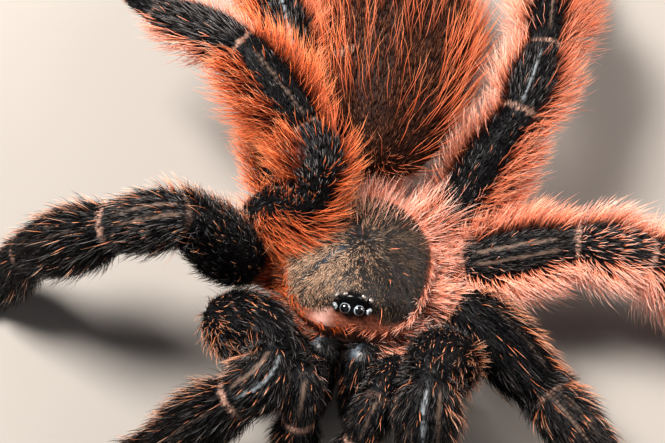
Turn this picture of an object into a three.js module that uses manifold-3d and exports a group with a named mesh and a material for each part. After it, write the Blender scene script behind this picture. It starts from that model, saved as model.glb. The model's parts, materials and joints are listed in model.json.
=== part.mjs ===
// A tarantula at life size, standing on a flat floor with its head held up and one hind
// leg drawn over its back. Millimetres, +Z up, the head towards -Y, the animal's left
// towards +X. Every solid reaches to the tips of the coat.
import * as THREE from "three";
import { mergeVertices } from "three/addons/utils/BufferGeometryUtils.js";
import Module from "manifold-3d";

// ---------------------------------------------------------------- driving dimensions

const GAP = 0.3; // clear space between two neighbouring solids
const LEG_SIDES = 8; // corners of a limb's section
const BODY_SIDES = 16; // corners of a body section
const SMALL_SIDES = 6; // corners of the section of a coxa, fang or spinneret

const HEAD_UP = 7; // degrees that the front of the body is raised
const SHIELD_HEIGHT = 12; // the shield's rim above the floor, at its middle
const SHIELD = { halfWidth: 9.1, dome: 3.6, fullness: 2.6, rimDrop: 0.5, thickness: 1.1 };
const SHIELD_FRONT = { length: 11.2, power: 3 }; // from where the shield is widest; squarer in front
const SHIELD_REAR = { length: 8.5, power: 2 };
const SHIELD_WIDEST = 2; // the place along the shield where it is widest
const SHIELD_RINGS = [1, 0.94, 0.8, 0.6, 0.38, 0.16]; // from the rim to the crown
const UNDERSIDE_SHARE = 0.9; // the shield's flat underside, as a share of its outline
const CAPUT = { y: -5.4, height: 2.6, spreadX: 5.2, spreadY: 5.6 };
const TUBERCLE = { y: -7.1, height: 1.1, spreadX: 2.0, spreadY: 1.2 };

const STERNUM = { y: -1, z: -4.4, halfLength: 8.5, halfWidth: 5.6, halfHeight: 2.6 };
const COXA = { rootX: 4.2, rootY: 0.62, rootZ: -4.6, radius: 2.8, palpShare: 0.72 };
const WAIST = { frontY: 3.3, frontZ: -3.2, backY: 11.9, backZ: -2.2, radius: 1.9 };
const WAIST_PROFILE = [[0, 1.5], [0.5, 1.2], [0.98, 1]];

const ABDOMEN = { start: [0.2, 12.6, 12.4], end: [-0.4, 46.5, 11.2], arch: 1.6, heightShare: 0.9 };
const ABDOMEN_PROFILE = [
  [0, 3.2], [0.05, 5.6], [0.14, 8.2], [0.28, 10], [0.45, 11], [0.62, 11.2],
  [0.78, 10.1], [0.9, 7.7], [0.97, 4.8], [1, 2.4],
]; // its half-width along its length
const ABDOMEN_CLEARANCE = 0.6; // from the floor

const CHELICERA = { x: 2.45, y: -8.8, z: -1.5, width: 2.25, height: 2.9, length: 10.5 };
const CHELICERA_LIE = { pitch: -34, splay: 3 };
const CHELICERA_PROFILE = [[0, 0.78], [0.12, 0.94], [0.4, 1], [0.7, 0.94], [0.88, 0.76], [0.97, 0.5]];
const FANG = { root: 0.86, radius: 0.75, tip: 0.3, span: 4.7, bow: 1.7 };
const SPINNERET = { x: 1.7, back: -1.2, drop: -2.2, yaw: 12, pitch: -8, radius: 1.25, length: 6.2 };
const SPINNERET_PROFILE = [[0, 0.8], [0.2, 1], [0.6, 0.9], [0.95, 0.48]];

// The eyes stand in two rows of four on the tubercle; half of them, the rest mirrored.
const EYES = [
  { name: "front_middle", x: 0.78, y: -7.6, radius: 0.7 },
  { name: "front_side", x: 1.98, y: -7.4, radius: 0.5 },
  { name: "rear_side", x: 1.96, y: -6.45, radius: 0.38 },
  { name: "rear_middle", x: 1.08, y: -6.45, radius: 0.36 },
];
const EYE_SINK = 0.35; // how far an eye's centre lies under the coat, as a share of its radius
const EYE_ROOM = 0.7; // the part of a clearance that an eye's socket takes

// Segment lengths, from hip to claws, and the hip's place beside the body.
const LIMBS = {
  leg_1: { hip: [12.8, -8.4, -2.2], lengths: [16, 9.6, 13.5, 11.5, 8] },
  leg_2: { hip: [13.6, -0.8, -2.4], lengths: [15.6, 9.2, 13, 12.5, 8] },
  leg_3: { hip: [13.4, 4.8, -2.4], lengths: [14, 8.4, 12.2, 12, 7.5] },
  leg_4: { hip: [10.8, 9.8, -2.4], lengths: [16.8, 9, 14.5, 16, 8] },
  palp: { hip: [7.0, -11.2, -2.2], lengths: [9.6, 6.2, 8, 7.4] },
};
const SIDES = [["left", 1], ["right", -1]];
const FARTHER_OUT = { leg_1_right: 2.7 }; // a hip that reaches farther from the body

// The stance: each segment's yaw (0 is forward, + towards the animal's left) and pitch.
// A segment with no pitch comes down to the height of the ankle.
const STANCE = {
  leg_1_right: [[60, 39], [-52, -28], [-60, -44], [-50], [-44, -5]],
  leg_2_right: [[-88, 62], [-72, -10], [-79, -38], [-73], [-68, -5]],
  leg_3_right: [[104, 50], [-142, 4], [-132, 20], [-110, -12], [-128, -6]],
  leg_4_right: [[-174, 28], [-158, 4], [-162, -34], [-166], [-170, -5]],
  leg_1_left: [[-22, 60], [10, -46], [16, -46], [18], [16, -5]],
  leg_2_left: [[50, 3], [46, 0], [45, -30], [42], [38, -5]],
  leg_3_left: [[104, 18], [90, 8], [88, -38], [84], [84, -5]],
  leg_4_left: [[154, 32], [168, 6], [175, -18], [176], [178, -5]],
  palp_right: [[30, 56], [4, -40], [0, -60], [-6]],
  palp_left: [[-20, 50], [-16, -40], [-18, -50], [-8]],
};
const BEND_ROOM = 0.8; // how much wider a joint's bend is than the limb there
const ANKLE = 2.1; // height of the ankle's centre, where a foot lies on the floor
const CAP = 0.6; // how far a blunt end stands proud

// Radii along a limb, with its coat: at the joints, and the widest in between.
const COATS = {
  leg_1: { finish: "velvet", joints: [3.2, 3.2, 3.3, 2.9, 2.5, 1.7], bellies: [4.8, 4.2, 4.2, 3.2, 2.7] },
  leg_2: { finish: "velvet", joints: [3.2, 3.1, 3.3, 2.9, 2.5, 1.7], bellies: [4.6, 4.0, 4.7, 3.4, 2.7] },
  leg_3: { finish: "fringe", joints: [3.5, 4.0, 4.2, 3.6, 2.5, 1.6], bellies: [5.6, 5.7, 6.5, 4.5, 2.6] },
  leg_4: { finish: "fringe", joints: [3.5, 3.9, 4.1, 3.5, 2.5, 1.6], bellies: [5.4, 5.6, 6.2, 4.4, 2.6] },
  palp: { finish: "velvet", joints: [2.2, 2.3, 2.4, 2.0, 1.4], bellies: [2.9, 3.0, 3.1, 2.6] },
};
const FIRST_PLAIN_SEGMENT = 3; // from here on a limb needs fewer rings
const LEG_PIECES = ["femur", "patella", "tibia", "foot"]; // the foot is metatarsus and tarsus
const PALP_PIECES = ["femur", "patella", "tibia", "tarsus"];

const FINISHES = {
  shield: { color: 0x4a3a2c, roughness: 0.8, metalness: 0 },
  velvet: { color: 0x17171b, roughness: 0.9, metalness: 0 },
  fringe: { color: 0xa8482a, roughness: 0.85, metalness: 0 },
  abdomen: { color: 0x3a211a, roughness: 0.9, metalness: 0 },
  horn: { color: 0x101114, roughness: 0.3, metalness: 0 },
  eye: { color: 0x050608, roughness: 0.08, metalness: 0 },
};

// ---------------------------------------------------------------- small geometry tools

const vec = (x, y, z) => new THREE.Vector3(x, y, z);
const UP = vec(0, 0, 1);
const radians = THREE.MathUtils.degToRad;
const bump = (d, spread) => Math.exp(-((d / spread) ** 2));

function heading(yaw, pitch) {
  const flat = Math.cos(radians(pitch));
  return vec(Math.sin(radians(yaw)) * flat, -Math.cos(radians(yaw)) * flat, Math.sin(radians(pitch)));
}

// A point of the raised body, given from the middle of the shield's rim.
function onBody(x, y, z) {
  const point = vec(x, y, z).applyAxisAngle(vec(1, 0, 0), -radians(HEAD_UP));
  return point.add(vec(0, 0, SHIELD_HEIGHT));
}

// The place of a limb's hip on the body.
function hipOf(kind, sideName) {
  const [x, y, z] = LIMBS[kind].hip;
  const out = x + (FARTHER_OUT[`${kind}_${sideName}`] ?? 0);
  return onBody(out * (sideName === "left" ? 1 : -1), y, z);
}

// A closed body through rings of points, each end closed to a middle point.
function loft(rings, startPole, endPole) {
  const count = rings[0].length;
  const points = [...rings.flat(), startPole, endPole];
  const index = [];
  for (let ring = 0; ring < rings.length - 1; ring += 1) {
    for (let side = 0; side < count; side += 1) {
      const next = (side + 1) % count;
      const a = ring * count + side;
      const b = ring * count + next;
      index.push(a, b, a + count, b, b + count, a + count);
    }
  }
  const start = points.length - 2;
  const end = points.length - 1;
  const last = (rings.length - 1) * count;
  for (let side = 0; side < count; side += 1) {
    const next = (side + 1) % count;
    index.push(start, next, side);
    index.push(end, last + side, last + next);
  }
  const geometry = new THREE.BufferGeometry().setFromPoints(points);
  geometry.setIndex(index);
  return geometry;
}

// A ring of points round a place on a spine, wide along its side and tall along its top.
function ringAt({ place, forward, side }, width, height, count, floor = -Infinity) {
  const below = forward.clone().cross(side);
  return Array.from({ length: count }, (_, corner) => {
    const angle = ((corner + 0.5) * 2 * Math.PI) / count;
    const point = place.clone();
    point.addScaledVector(side, width * Math.cos(angle));
    point.addScaledVector(below, height * Math.sin(angle));
    point.z = Math.max(point.z, floor);
    return point;
  });
}

// ---------------------------------------------------------------- solids

const wasm = await Module();
wasm.setup();

function solidOf(geometry) {
  const bare = geometry.clone();
  bare.deleteAttribute("normal");
  bare.deleteAttribute("uv");
  const merged = mergeVertices(bare, 1e-5);
  const vertProperties = Float32Array.from(merged.attributes.position.array);
  const triVerts = Uint32Array.from(merged.index.array);
  return new wasm.Manifold(new wasm.Mesh({ numProp: 3, vertProperties, triVerts }));
}

function geometryOf(solid) {
  const { vertProperties, triVerts } = solid.getMesh();
  const geometry = new THREE.BufferGeometry();
  geometry.setAttribute("position", new THREE.BufferAttribute(vertProperties, 3));
  geometry.setIndex(new THREE.BufferAttribute(triVerts, 1));
  return geometry;
}

function largestPiece(solid) {
  return solid.decompose().reduce((best, piece) => (piece.volume() > best.volume() ? piece : best));
}

// ---------------------------------------------------------------- the body

// How far out a place lies on the shield, from 0 in its widest middle to 1 at its outline, when
// x is a share of its half width and ahead counts forward from the middle.
function shieldShare(x, ahead) {
  const { length, power } = ahead > 0 ? SHIELD_FRONT : SHIELD_REAR;
  return (Math.abs(x) ** power + (Math.abs(ahead) / length) ** power) ** (1 / power);
}

// Height of the shield's top over its rim: a dome, the raised caput and the eye tubercle.
function shieldTop(x, y) {
  const out = shieldShare(x / SHIELD.halfWidth, SHIELD_WIDEST - y);
  const dome = SHIELD.dome * Math.sqrt(Math.max(0, 1 - out ** SHIELD.fullness));
  const caput = CAPUT.height * bump(x, CAPUT.spreadX) * bump(y - CAPUT.y, CAPUT.spreadY);
  const tubercle = TUBERCLE.height * bump(x, TUBERCLE.spreadX) * bump(y - TUBERCLE.y, TUBERCLE.spreadY);
  const inside = Math.min(1, 3 * (1 - out) + 0.35); // the caput fades towards the rim
  return dome + caput * inside + tubercle;
}

function shield(grow = 0) {
  const scale = 1 + grow / SHIELD.halfWidth;
  const ring = (share, height) =>
    Array.from({ length: BODY_SIDES }, (_, corner) => {
      const angle = (corner * 2 * Math.PI) / BODY_SIDES;
      const { length } = angle > Math.PI ? SHIELD_FRONT : SHIELD_REAR;
      const out = share / shieldShare(Math.cos(angle), -Math.sin(angle) * length);
      const x = SHIELD.halfWidth * Math.cos(angle) * out;
      const y = length * Math.sin(angle) * out;
      return onBody(x * scale, SHIELD_WIDEST + y * scale, height(x, SHIELD_WIDEST + y));
    });
  const bottom = -SHIELD.thickness - grow;
  const under = ring(UNDERSIDE_SHARE, () => bottom);
  const rim = ring(1, () => bottom * SHIELD.rimDrop);
  const tops = SHIELD_RINGS.map((share) =>
    ring(share, (x, y) => shieldTop(x, y) * (share === 1 ? SHIELD.rimDrop : 1) + grow),
  );
  const crown = shieldTop(0, SHIELD_WIDEST) + grow;
  return loft([under, rim, ...tops], onBody(0, SHIELD_WIDEST, bottom), onBody(0, SHIELD_WIDEST, crown));
}

function eyeball({ x, y, radius }, mirror, grow = 0) {
  const centre = onBody(x * mirror, y, shieldTop(x, y) - radius * EYE_SINK);
  const geometry = new THREE.SphereGeometry(radius + grow * EYE_ROOM, 8, 5);
  return geometry.translate(centre.x, centre.y, centre.z);
}

// A round bar between two points, its radius given at shares of its length.
function bar(from, to, radii, sides, height = 1) {
  const forward = to.clone().sub(from).normalize();
  const side = forward.clone().cross(UP).normalize();
  const rings = radii.map(([share, radius]) => {
    const place = from.clone().lerp(to, share);
    return ringAt({ place, forward, side }, radius, radius * height, sides);
  });
  return loft(rings, from, to);
}

// The breast plate with every limb's coxa and trochanter, and the waist.
function underbody(grow = 0) {
  const plate = new THREE.SphereGeometry(1, 10, 5);
  plate.scale(STERNUM.halfWidth + grow, STERNUM.halfLength + grow, STERNUM.halfHeight + grow);
  plate.rotateX(-radians(HEAD_UP));
  plate.translate(...onBody(0, STERNUM.y, STERNUM.z));
  let solid = solidOf(plate);
  for (const [side, mirror] of SIDES) {
    for (const [kind, { hip }] of Object.entries(LIMBS)) {
      const radius = COXA.radius * (kind === "palp" ? COXA.palpShare : 1) + grow;
      const rootX = (COXA.rootX * hip[0]) / LIMBS.leg_2.hip[0];
      const root = onBody(mirror * rootX, hip[1] * COXA.rootY, COXA.rootZ);
      const tip = hipOf(kind, side);
      tip.addScaledVector(tip.clone().sub(root).normalize(), grow);
      const radii = [[0, radius * 0.8], [0.8, radius], [0.95, radius * 0.72]];
      solid = solid.add(solidOf(bar(root, tip, radii, SMALL_SIDES)));
    }
  }
  const front = onBody(0, WAIST.frontY, WAIST.frontZ);
  const back = onBody(0, WAIST.backY, WAIST.backZ);
  const radii = WAIST_PROFILE.map(([share, size]) => [share, WAIST.radius * size + grow]);
  return solid.add(solidOf(bar(front, back, radii, LEG_SIDES)));
}

function abdomen(grow = 0) {
  const start = vec(...ABDOMEN.start);
  const end = vec(...ABDOMEN.end);
  const forward = end.clone().sub(start).normalize();
  const side = forward.clone().cross(UP).normalize();
  const rings = ABDOMEN_PROFILE.map(([share, radius]) => {
    const place = start.clone().lerp(end, share);
    place.z += ABDOMEN.arch * Math.sin(Math.PI * share);
    const height = (radius + grow) * ABDOMEN.heightShare;
    return ringAt({ place, forward, side }, radius + grow, height, BODY_SIDES, ABDOMEN_CLEARANCE);
  });
  start.addScaledVector(forward, -CAP - grow);
  end.addScaledVector(forward, CAP + grow);
  return loft(rings, start, end);
}

function cheliceraFrame(mirror) {
  const forward = heading(CHELICERA_LIE.splay * mirror, CHELICERA_LIE.pitch);
  return { start: onBody(CHELICERA.x * mirror, CHELICERA.y, CHELICERA.z), forward };
}

function chelicera(mirror, grow = 0) {
  const { start, forward } = cheliceraFrame(mirror);
  const end = start.clone().addScaledVector(forward, CHELICERA.length + grow);
  const radii = CHELICERA_PROFILE.map(([share, size]) => [share, CHELICERA.width * size + grow]);
  return bar(start, end, radii, LEG_SIDES, CHELICERA.height / CHELICERA.width);
}

// A fang folded back under its chelicera, as a bow that thins to its tip.
function fang(mirror, grow = 0) {
  const { start, forward } = cheliceraFrame(mirror);
  const side = forward.clone().cross(UP).normalize();
  const below = forward.clone().cross(side);
  const back = forward.clone().negate();
  const root = start.addScaledVector(forward, CHELICERA.length * FANG.root);
  root.addScaledVector(below, CHELICERA.height * 0.78 + FANG.radius);
  const rings = [0, 0.2, 0.45, 0.7, 0.9].map((share) => {
    const place = root.clone().addScaledVector(back, FANG.span * Math.sin(share * 1.5) * 0.98);
    place.addScaledVector(below, FANG.bow * Math.sin(share * Math.PI));
    const radius = THREE.MathUtils.lerp(FANG.radius, FANG.tip, share) + grow;
    return ringAt({ place, forward: back, side }, radius, radius, SMALL_SIDES);
  });
  const tip = root.clone().addScaledVector(back, FANG.span * 1.08);
  return loft(rings, root.addScaledVector(forward, GAP), tip);
}

function spinneret(mirror, grow = 0) {
  const start = vec(...ABDOMEN.end);
  start.add(vec(SPINNERET.x * mirror, SPINNERET.back, SPINNERET.drop));
  const forward = heading(180 - SPINNERET.yaw * mirror, SPINNERET.pitch);
  const end = start.clone().addScaledVector(forward, SPINNERET.length);
  const radii = SPINNERET_PROFILE.map(([share, size]) => [share, SPINNERET.radius * size + grow]);
  return bar(start, end, radii, SMALL_SIDES);
}

// ---------------------------------------------------------------- the limbs

// The joints of a limb, from the hip to the tip of the claws.
function jointsOf(name) {
  const [, kind, sideName] = name.match(/^(.*)_(left|right)$/);
  const { lengths } = LIMBS[kind];
  const joints = [hipOf(kind, sideName)];
  STANCE[name].forEach(([yaw, pitch], segment) => {
    const from = joints[joints.length - 1];
    const length = lengths[segment];
    const drop = THREE.MathUtils.radToDeg(Math.asin((ANKLE - from.z) / length));
    joints.push(from.clone().addScaledVector(heading(yaw, pitch ?? drop), length));
  });
  return joints;
}

// The round bend of a limb at one of its joints, or null at its two ends.
function bendAt(joints, joint, radii) {
  if (joint === 0 || joint === joints.length - 1) {
    return null;
  }
  const corner = joints[joint];
  const before = corner.clone().sub(joints[joint - 1]).normalize();
  const after = joints[joint + 1].clone().sub(corner).normalize();
  const angle = before.angleTo(after);
  const radius = radii.joints[joint] + BEND_ROOM; // no tighter than the limb is thick
  const inward = after.clone().addScaledVector(before, -after.dot(before)).normalize();
  return { corner, before, inward, angle, radius, reach: radius * Math.tan(angle / 2) };
}

function onBend({ corner, before, inward, angle, radius, reach }, part) {
  const turn = angle * part;
  const place = corner.clone().addScaledVector(before, radius * Math.sin(turn) - reach);
  place.addScaledVector(inward, radius * (1 - Math.cos(turn)));
  const forward = before.clone().multiplyScalar(Math.cos(turn)).addScaledVector(inward, Math.sin(turn));
  return { place, forward };
}

// Stations of one segment: half of the bend behind it, its straight part, half of the bend
// ahead. Share is how far along the segment a station counts as being.
function stationsOf(joints, segment, radii) {
  const behind = bendAt(joints, segment, radii);
  const ahead = bendAt(joints, segment + 1, radii);
  const forward = joints[segment + 1].clone().sub(joints[segment]).normalize();
  const from = joints[segment].clone().addScaledVector(forward, behind ? behind.reach : 0);
  const to = joints[segment + 1].clone().addScaledVector(forward, ahead ? -ahead.reach : 0);
  const straight = segment >= FIRST_PLAIN_SEGMENT ? [0.2, 0.7] : [0.16, 0.4, 0.65, 0.86];
  const stations = straight.map((share) => ({ place: from.clone().lerp(to, share), forward, share }));
  if (behind) {
    stations.unshift({ ...onBend(behind, 0.5), share: 0 }, { ...onBend(behind, 0.75), share: 0.1 });
  } else {
    stations.unshift({ place: from, forward, share: 0 });
  }
  if (ahead) {
    stations.push({ ...onBend(ahead, 0.25), share: 0.93 }, { ...onBend(ahead, 0.5), share: 1 });
  } else {
    stations.push({ place: to, forward, share: 1 });
  }
  return stations;
}

function radiusAt(radii, segment, share) {
  const ends = THREE.MathUtils.lerp(radii.joints[segment], radii.joints[segment + 1], share);
  return ends + (radii.bellies[segment] - ends) * Math.sin(Math.PI * share ** 0.85);
}

// One node of a limb, from its first to its last segment. At a joint it stops half a gap
// short; at the hip and the claws it has a blunt end.
function limbPiece(joints, radii, first, last, floor, grow = 0) {
  const stations = [];
  for (let segment = first; segment <= last; segment += 1) {
    const own = stationsOf(joints, segment, radii);
    own.forEach((station) => {
      station.radius = radiusAt(radii, segment, station.share) + grow;
    });
    stations.push(...(segment === first ? own : own.slice(1)));
  }
  const start = stations[0];
  const end = stations[stations.length - 1];
  const fromHip = first === 0;
  const toClaws = last === joints.length - 2;
  const closing = GAP / 2 - grow;
  start.place.addScaledVector(start.forward, fromHip ? CAP : closing);
  end.place.addScaledVector(end.forward, toClaws ? 0 : -closing);
  let side = start.forward.clone().cross(UP).normalize();
  const rings = stations.map((station) => {
    side = side.clone().addScaledVector(station.forward, -side.dot(station.forward)).normalize();
    return ringAt({ ...station, side }, station.radius, station.radius, LEG_SIDES, floor - grow);
  });
  const startPole = start.place.clone().addScaledVector(start.forward, fromHip ? -CAP : 0);
  const endPole = end.place.clone().addScaledVector(end.forward, toClaws ? end.radius * CAP : 0);
  endPole.z = Math.max(endPole.z, floor - grow);
  return loft(rings, startPole, endPole);
}

// ---------------------------------------------------------------- the whole animal

// Every part's name, finish and shape, in the order in which they keep their place: where
// two would meet, the later one is cut back to leave the gap.
const parts = [];
for (const [side, mirror] of SIDES) {
  for (const eye of EYES) {
    const shape = (grow) => solidOf(eyeball(eye, mirror, grow));
    parts.push({ name: `eye_${eye.name}_${side}`, finish: "eye", shape });
  }
}
parts.push({ name: "carapace", finish: "shield", shape: (grow) => solidOf(shield(grow)) });
parts.push({ name: "abdomen", finish: "abdomen", shape: (grow) => solidOf(abdomen(grow)) });
const PAIRS = [
  ["chelicera", "velvet", chelicera],
  ["fang", "horn", fang],
  ["spinneret", "abdomen", spinneret],
];
for (const [name, finish, make] of PAIRS) {
  for (const [side, mirror] of SIDES) {
    parts.push({ name: `${name}_${side}`, finish, shape: (grow) => solidOf(make(mirror, grow)) });
  }
}
parts.push({ name: "underbody", finish: "velvet", shape: underbody });
for (const name of Object.keys(STANCE)) {
  const kind = name.replace(/_(left|right)$/, "");
  const pieces = kind === "palp" ? PALP_PIECES : LEG_PIECES;
  const joints = jointsOf(name);
  pieces.forEach((piece, segment) => {
    const isLast = segment === pieces.length - 1;
    const last = isLast ? joints.length - 2 : segment;
    const shape = (grow) =>
      solidOf(limbPiece(joints, COATS[kind], segment, last, isLast ? 0 : GAP, grow));
    parts.push({ name: `${name}_${piece}`, limb: name, finish: COATS[kind].finish, shape });
  });
}

const overlaps = (a, b) =>
  [0, 1, 2].every((axis) => a.min[axis] < b.max[axis] && b.min[axis] < a.max[axis]);

const tarantula = new THREE.Group();
const placed = [];
for (const { name, limb, finish, shape } of parts) {
  let solid = shape();
  for (const earlier of placed) {
    const sameLimb = limb && limb === earlier.limb; // parted at its joints already
    if (!sameLimb && overlaps(solid.boundingBox(), earlier.room.boundingBox())) {
      solid = solid.subtract(earlier.room);
    }
  }
  placed.push({ limb, room: shape(GAP) });
  const material = new THREE.MeshStandardMaterial(FINISHES[finish]);
  const mesh = new THREE.Mesh(geometryOf(largestPiece(solid)), material);
  mesh.name = name;
  tarantula.add(mesh);
}

// The frame's origin is the middle of the footprint, on the floor.
const extent = new THREE.Box3().setFromObject(tarantula);
const middle = extent.getCenter(vec(0, 0, 0));
tarantula.position.set(-middle.x, -middle.y, -extent.min.z);

export default tarantula;
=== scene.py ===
# %% [markdown]
# # A tarantula at life size
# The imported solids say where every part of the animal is. This lesson dresses them: one skin of
# flesh, a hard shield over the head, glossy eyes and fangs, and a coat of many thousand hairs.

# %% Load the frame
import json
import math

import bpy
import numpy as np
from mathutils import Matrix, Vector
from mathutils.kdtree import KDTree

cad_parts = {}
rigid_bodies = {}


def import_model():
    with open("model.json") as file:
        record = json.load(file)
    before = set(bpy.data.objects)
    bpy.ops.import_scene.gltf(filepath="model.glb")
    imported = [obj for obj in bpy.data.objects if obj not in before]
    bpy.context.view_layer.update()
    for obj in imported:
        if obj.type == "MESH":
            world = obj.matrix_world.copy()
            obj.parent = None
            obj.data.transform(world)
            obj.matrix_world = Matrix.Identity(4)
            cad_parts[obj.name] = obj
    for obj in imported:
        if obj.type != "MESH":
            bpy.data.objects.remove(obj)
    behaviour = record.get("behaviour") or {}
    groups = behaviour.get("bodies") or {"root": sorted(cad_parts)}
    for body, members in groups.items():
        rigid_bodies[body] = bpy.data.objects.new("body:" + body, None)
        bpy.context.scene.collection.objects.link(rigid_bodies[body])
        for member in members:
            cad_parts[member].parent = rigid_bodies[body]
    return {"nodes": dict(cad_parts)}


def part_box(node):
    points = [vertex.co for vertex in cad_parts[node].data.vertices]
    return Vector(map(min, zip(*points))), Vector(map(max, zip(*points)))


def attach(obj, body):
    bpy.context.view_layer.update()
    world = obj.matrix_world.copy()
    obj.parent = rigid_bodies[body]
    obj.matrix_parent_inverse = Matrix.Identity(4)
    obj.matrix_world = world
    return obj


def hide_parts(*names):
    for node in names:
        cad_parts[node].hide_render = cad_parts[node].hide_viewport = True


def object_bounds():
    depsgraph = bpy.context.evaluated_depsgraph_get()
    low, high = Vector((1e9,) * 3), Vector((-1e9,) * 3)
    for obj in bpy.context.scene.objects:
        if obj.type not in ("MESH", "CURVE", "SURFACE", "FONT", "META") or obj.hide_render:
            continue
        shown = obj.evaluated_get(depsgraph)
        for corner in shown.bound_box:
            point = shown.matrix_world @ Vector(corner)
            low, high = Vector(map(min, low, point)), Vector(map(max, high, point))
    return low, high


bpy.ops.object.select_all(action="SELECT")
bpy.ops.object.delete()
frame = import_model()
CAD_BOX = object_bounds()
MM = 0.001
rng = np.random.default_rng(20)
THINNED = 1.0
print("solids", len(frame["nodes"]), "box", [round(v * 1000, 1) for c in CAD_BOX for v in c])

# %% [markdown]
# The stance is worked out as it is for the solids, in millimetres: the hips beside the body,
# then each segment's length, yaw and pitch. A segment with no pitch comes down to the ankle.

# %% The stance
HEAD_UP = math.radians(7)  # the head end of the body is raised
SHIELD_HEIGHT = 12.0  # from the floor to the rim of the shield
SHIELD_CENTRE_Y = 0.612  # the middle of the shield's box, before the frame's shift
HIPS = {  # to the side, towards the rear and up from the middle of the shield's rim
    "leg_1": (12.8, -8.4, -2.2), "leg_2": (13.6, -0.8, -2.4), "leg_3": (13.4, 4.8, -2.4),
    "leg_4": (10.8, 9.8, -2.4), "palp": (7.0, -11.2, -2.2),
}
LENGTHS = {
    "leg_1": (16, 9.6, 13.5, 11.5, 8), "leg_2": (15.6, 9.2, 13, 12.5, 8),
    "leg_3": (14, 8.4, 12.2, 12, 7.5), "leg_4": (16.8, 9, 14.5, 16, 8), "palp": (9.6, 6.2, 8, 7.4),
}
STANCE = {  # the yaw and the pitch of each segment in degrees; a yaw of 0 points ahead
    "leg_1_right": ((60, 39), (-52, -28), (-60, -44), (-50,), (-44, -5)),
    "leg_2_right": ((-88, 62), (-72, -10), (-79, -38), (-73,), (-68, -5)),
    "leg_3_right": ((104, 50), (-142, 4), (-132, 20), (-110, -12), (-128, -6)),
    "leg_4_right": ((-174, 28), (-158, 4), (-162, -34), (-166,), (-170, -5)),
    "leg_1_left": ((-22, 60), (10, -46), (16, -46), (18,), (16, -5)),
    "leg_2_left": ((50, 3), (46, 0), (45, -30), (42,), (38, -5)),
    "leg_3_left": ((104, 18), (90, 8), (88, -38), (84,), (84, -5)),
    "leg_4_left": ((154, 32), (168, 6), (175, -18), (176,), (178, -5)),
    "palp_right": ((30, 56), (4, -40), (0, -60), (-6,)),
    "palp_left": ((-20, 50), (-16, -40), (-18, -50), (-8,)),
}
ANKLE = 2.1  # the height of the joint before the foot
FARTHER_OUT = {"leg_1_right": 2.7}  # a hip that reaches farther from the body


def unit(v):
    return v / np.maximum(np.linalg.norm(v, axis=-1, keepdims=True), 1e-9)


def heading(yaw, pitch):
    """A direction from degrees to the left of straight ahead and degrees up."""
    yaw, pitch = math.radians(yaw), math.radians(pitch)
    flat = math.cos(pitch)
    return np.array([math.sin(yaw) * flat, -math.cos(yaw) * flat, math.sin(pitch)])


def turned(x, y, z):
    """A direction of the raised body."""
    c, s = math.cos(HEAD_UP), math.sin(HEAD_UP)
    return np.stack([x, y * c + z * s, z * c - y * s], axis=-1)


low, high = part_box("carapace")
SHIFT = np.array([(low[0] + high[0]) / 2 / MM, (low[1] + high[1]) / 2 / MM - SHIELD_CENTRE_Y, 0.0])


def on_body(x, y, z):
    """A point of the raised body, given from the middle of the shield's rim."""
    x, y, z = np.broadcast_arrays(np.asarray(x, float), y, z)
    return turned(x, y, z) + SHIFT + (0, 0, SHIELD_HEIGHT)


def hip_of(kind, side):
    x, y, z = HIPS[kind]
    x += FARTHER_OUT.get(f"{kind}_{side}", 0.0)
    return on_body(x * (1 if side == "left" else -1), y, z)


def joints_of(name):
    kind, side = name.rsplit("_", 1)
    joints = [hip_of(kind, side)]
    for length, way in zip(LENGTHS[kind], STANCE[name]):
        drop = math.degrees(math.asin((ANKLE - joints[-1][2]) / length)) if len(way) == 1 else way[1]
        joints.append(joints[-1] + heading(way[0], drop) * length)
    return np.array(joints)


print("shift", SHIFT.round(3), "toe of leg 1", joints_of("leg_1_left")[-1].round(2))

# %% [markdown]
# Every soft part is a tube: a line with a thickness, a back and a side. A leg's line is its
# joints, each rounded to an arc. The tube tells three things apart that all follow it: the
# skin, the markings and the coat.

# %% Tubes
CORE = {  # radii of the flesh in millimetres: at the joints, and the widest in between
    "leg_1": ((2.7, 2.5, 2.6, 2.3, 1.9, 1.2), (4.1, 3.5, 3.5, 2.6, 2.1)),
    "leg_2": ((2.7, 2.5, 2.6, 2.3, 1.9, 1.2), (3.9, 3.4, 3.7, 2.7, 2.1)),
    "leg_3": ((2.7, 2.7, 2.6, 2.3, 1.8, 1.1), (3.7, 3.4, 3.3, 2.7, 2.0)),
    "leg_4": ((2.7, 2.6, 2.6, 2.3, 1.8, 1.1), (3.6, 3.4, 3.2, 2.6, 2.0)),
    "palp": ((1.8, 1.8, 1.9, 1.6, 1.0), (2.4, 2.5, 2.6, 2.1)),
}
# The radius of the arc that rounds each joint.
BEND = {"leg_1": 4.0, "leg_2": 3.9, "leg_3": 4.8, "leg_4": 4.7, "palp": 3.1}
BLACK_TO = {"leg_3_right": 52}  # how far its thigh is black on one flank, in degrees
ROLL = {  # how far each segment's back is turned from straight up
    "leg_3_right": (-55, 25, 5, 0, 0), "leg_3_left": (10, 3, 0, 0, 0),
    "leg_4_left": (-15, -10, -25, -10, 0),
}


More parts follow.
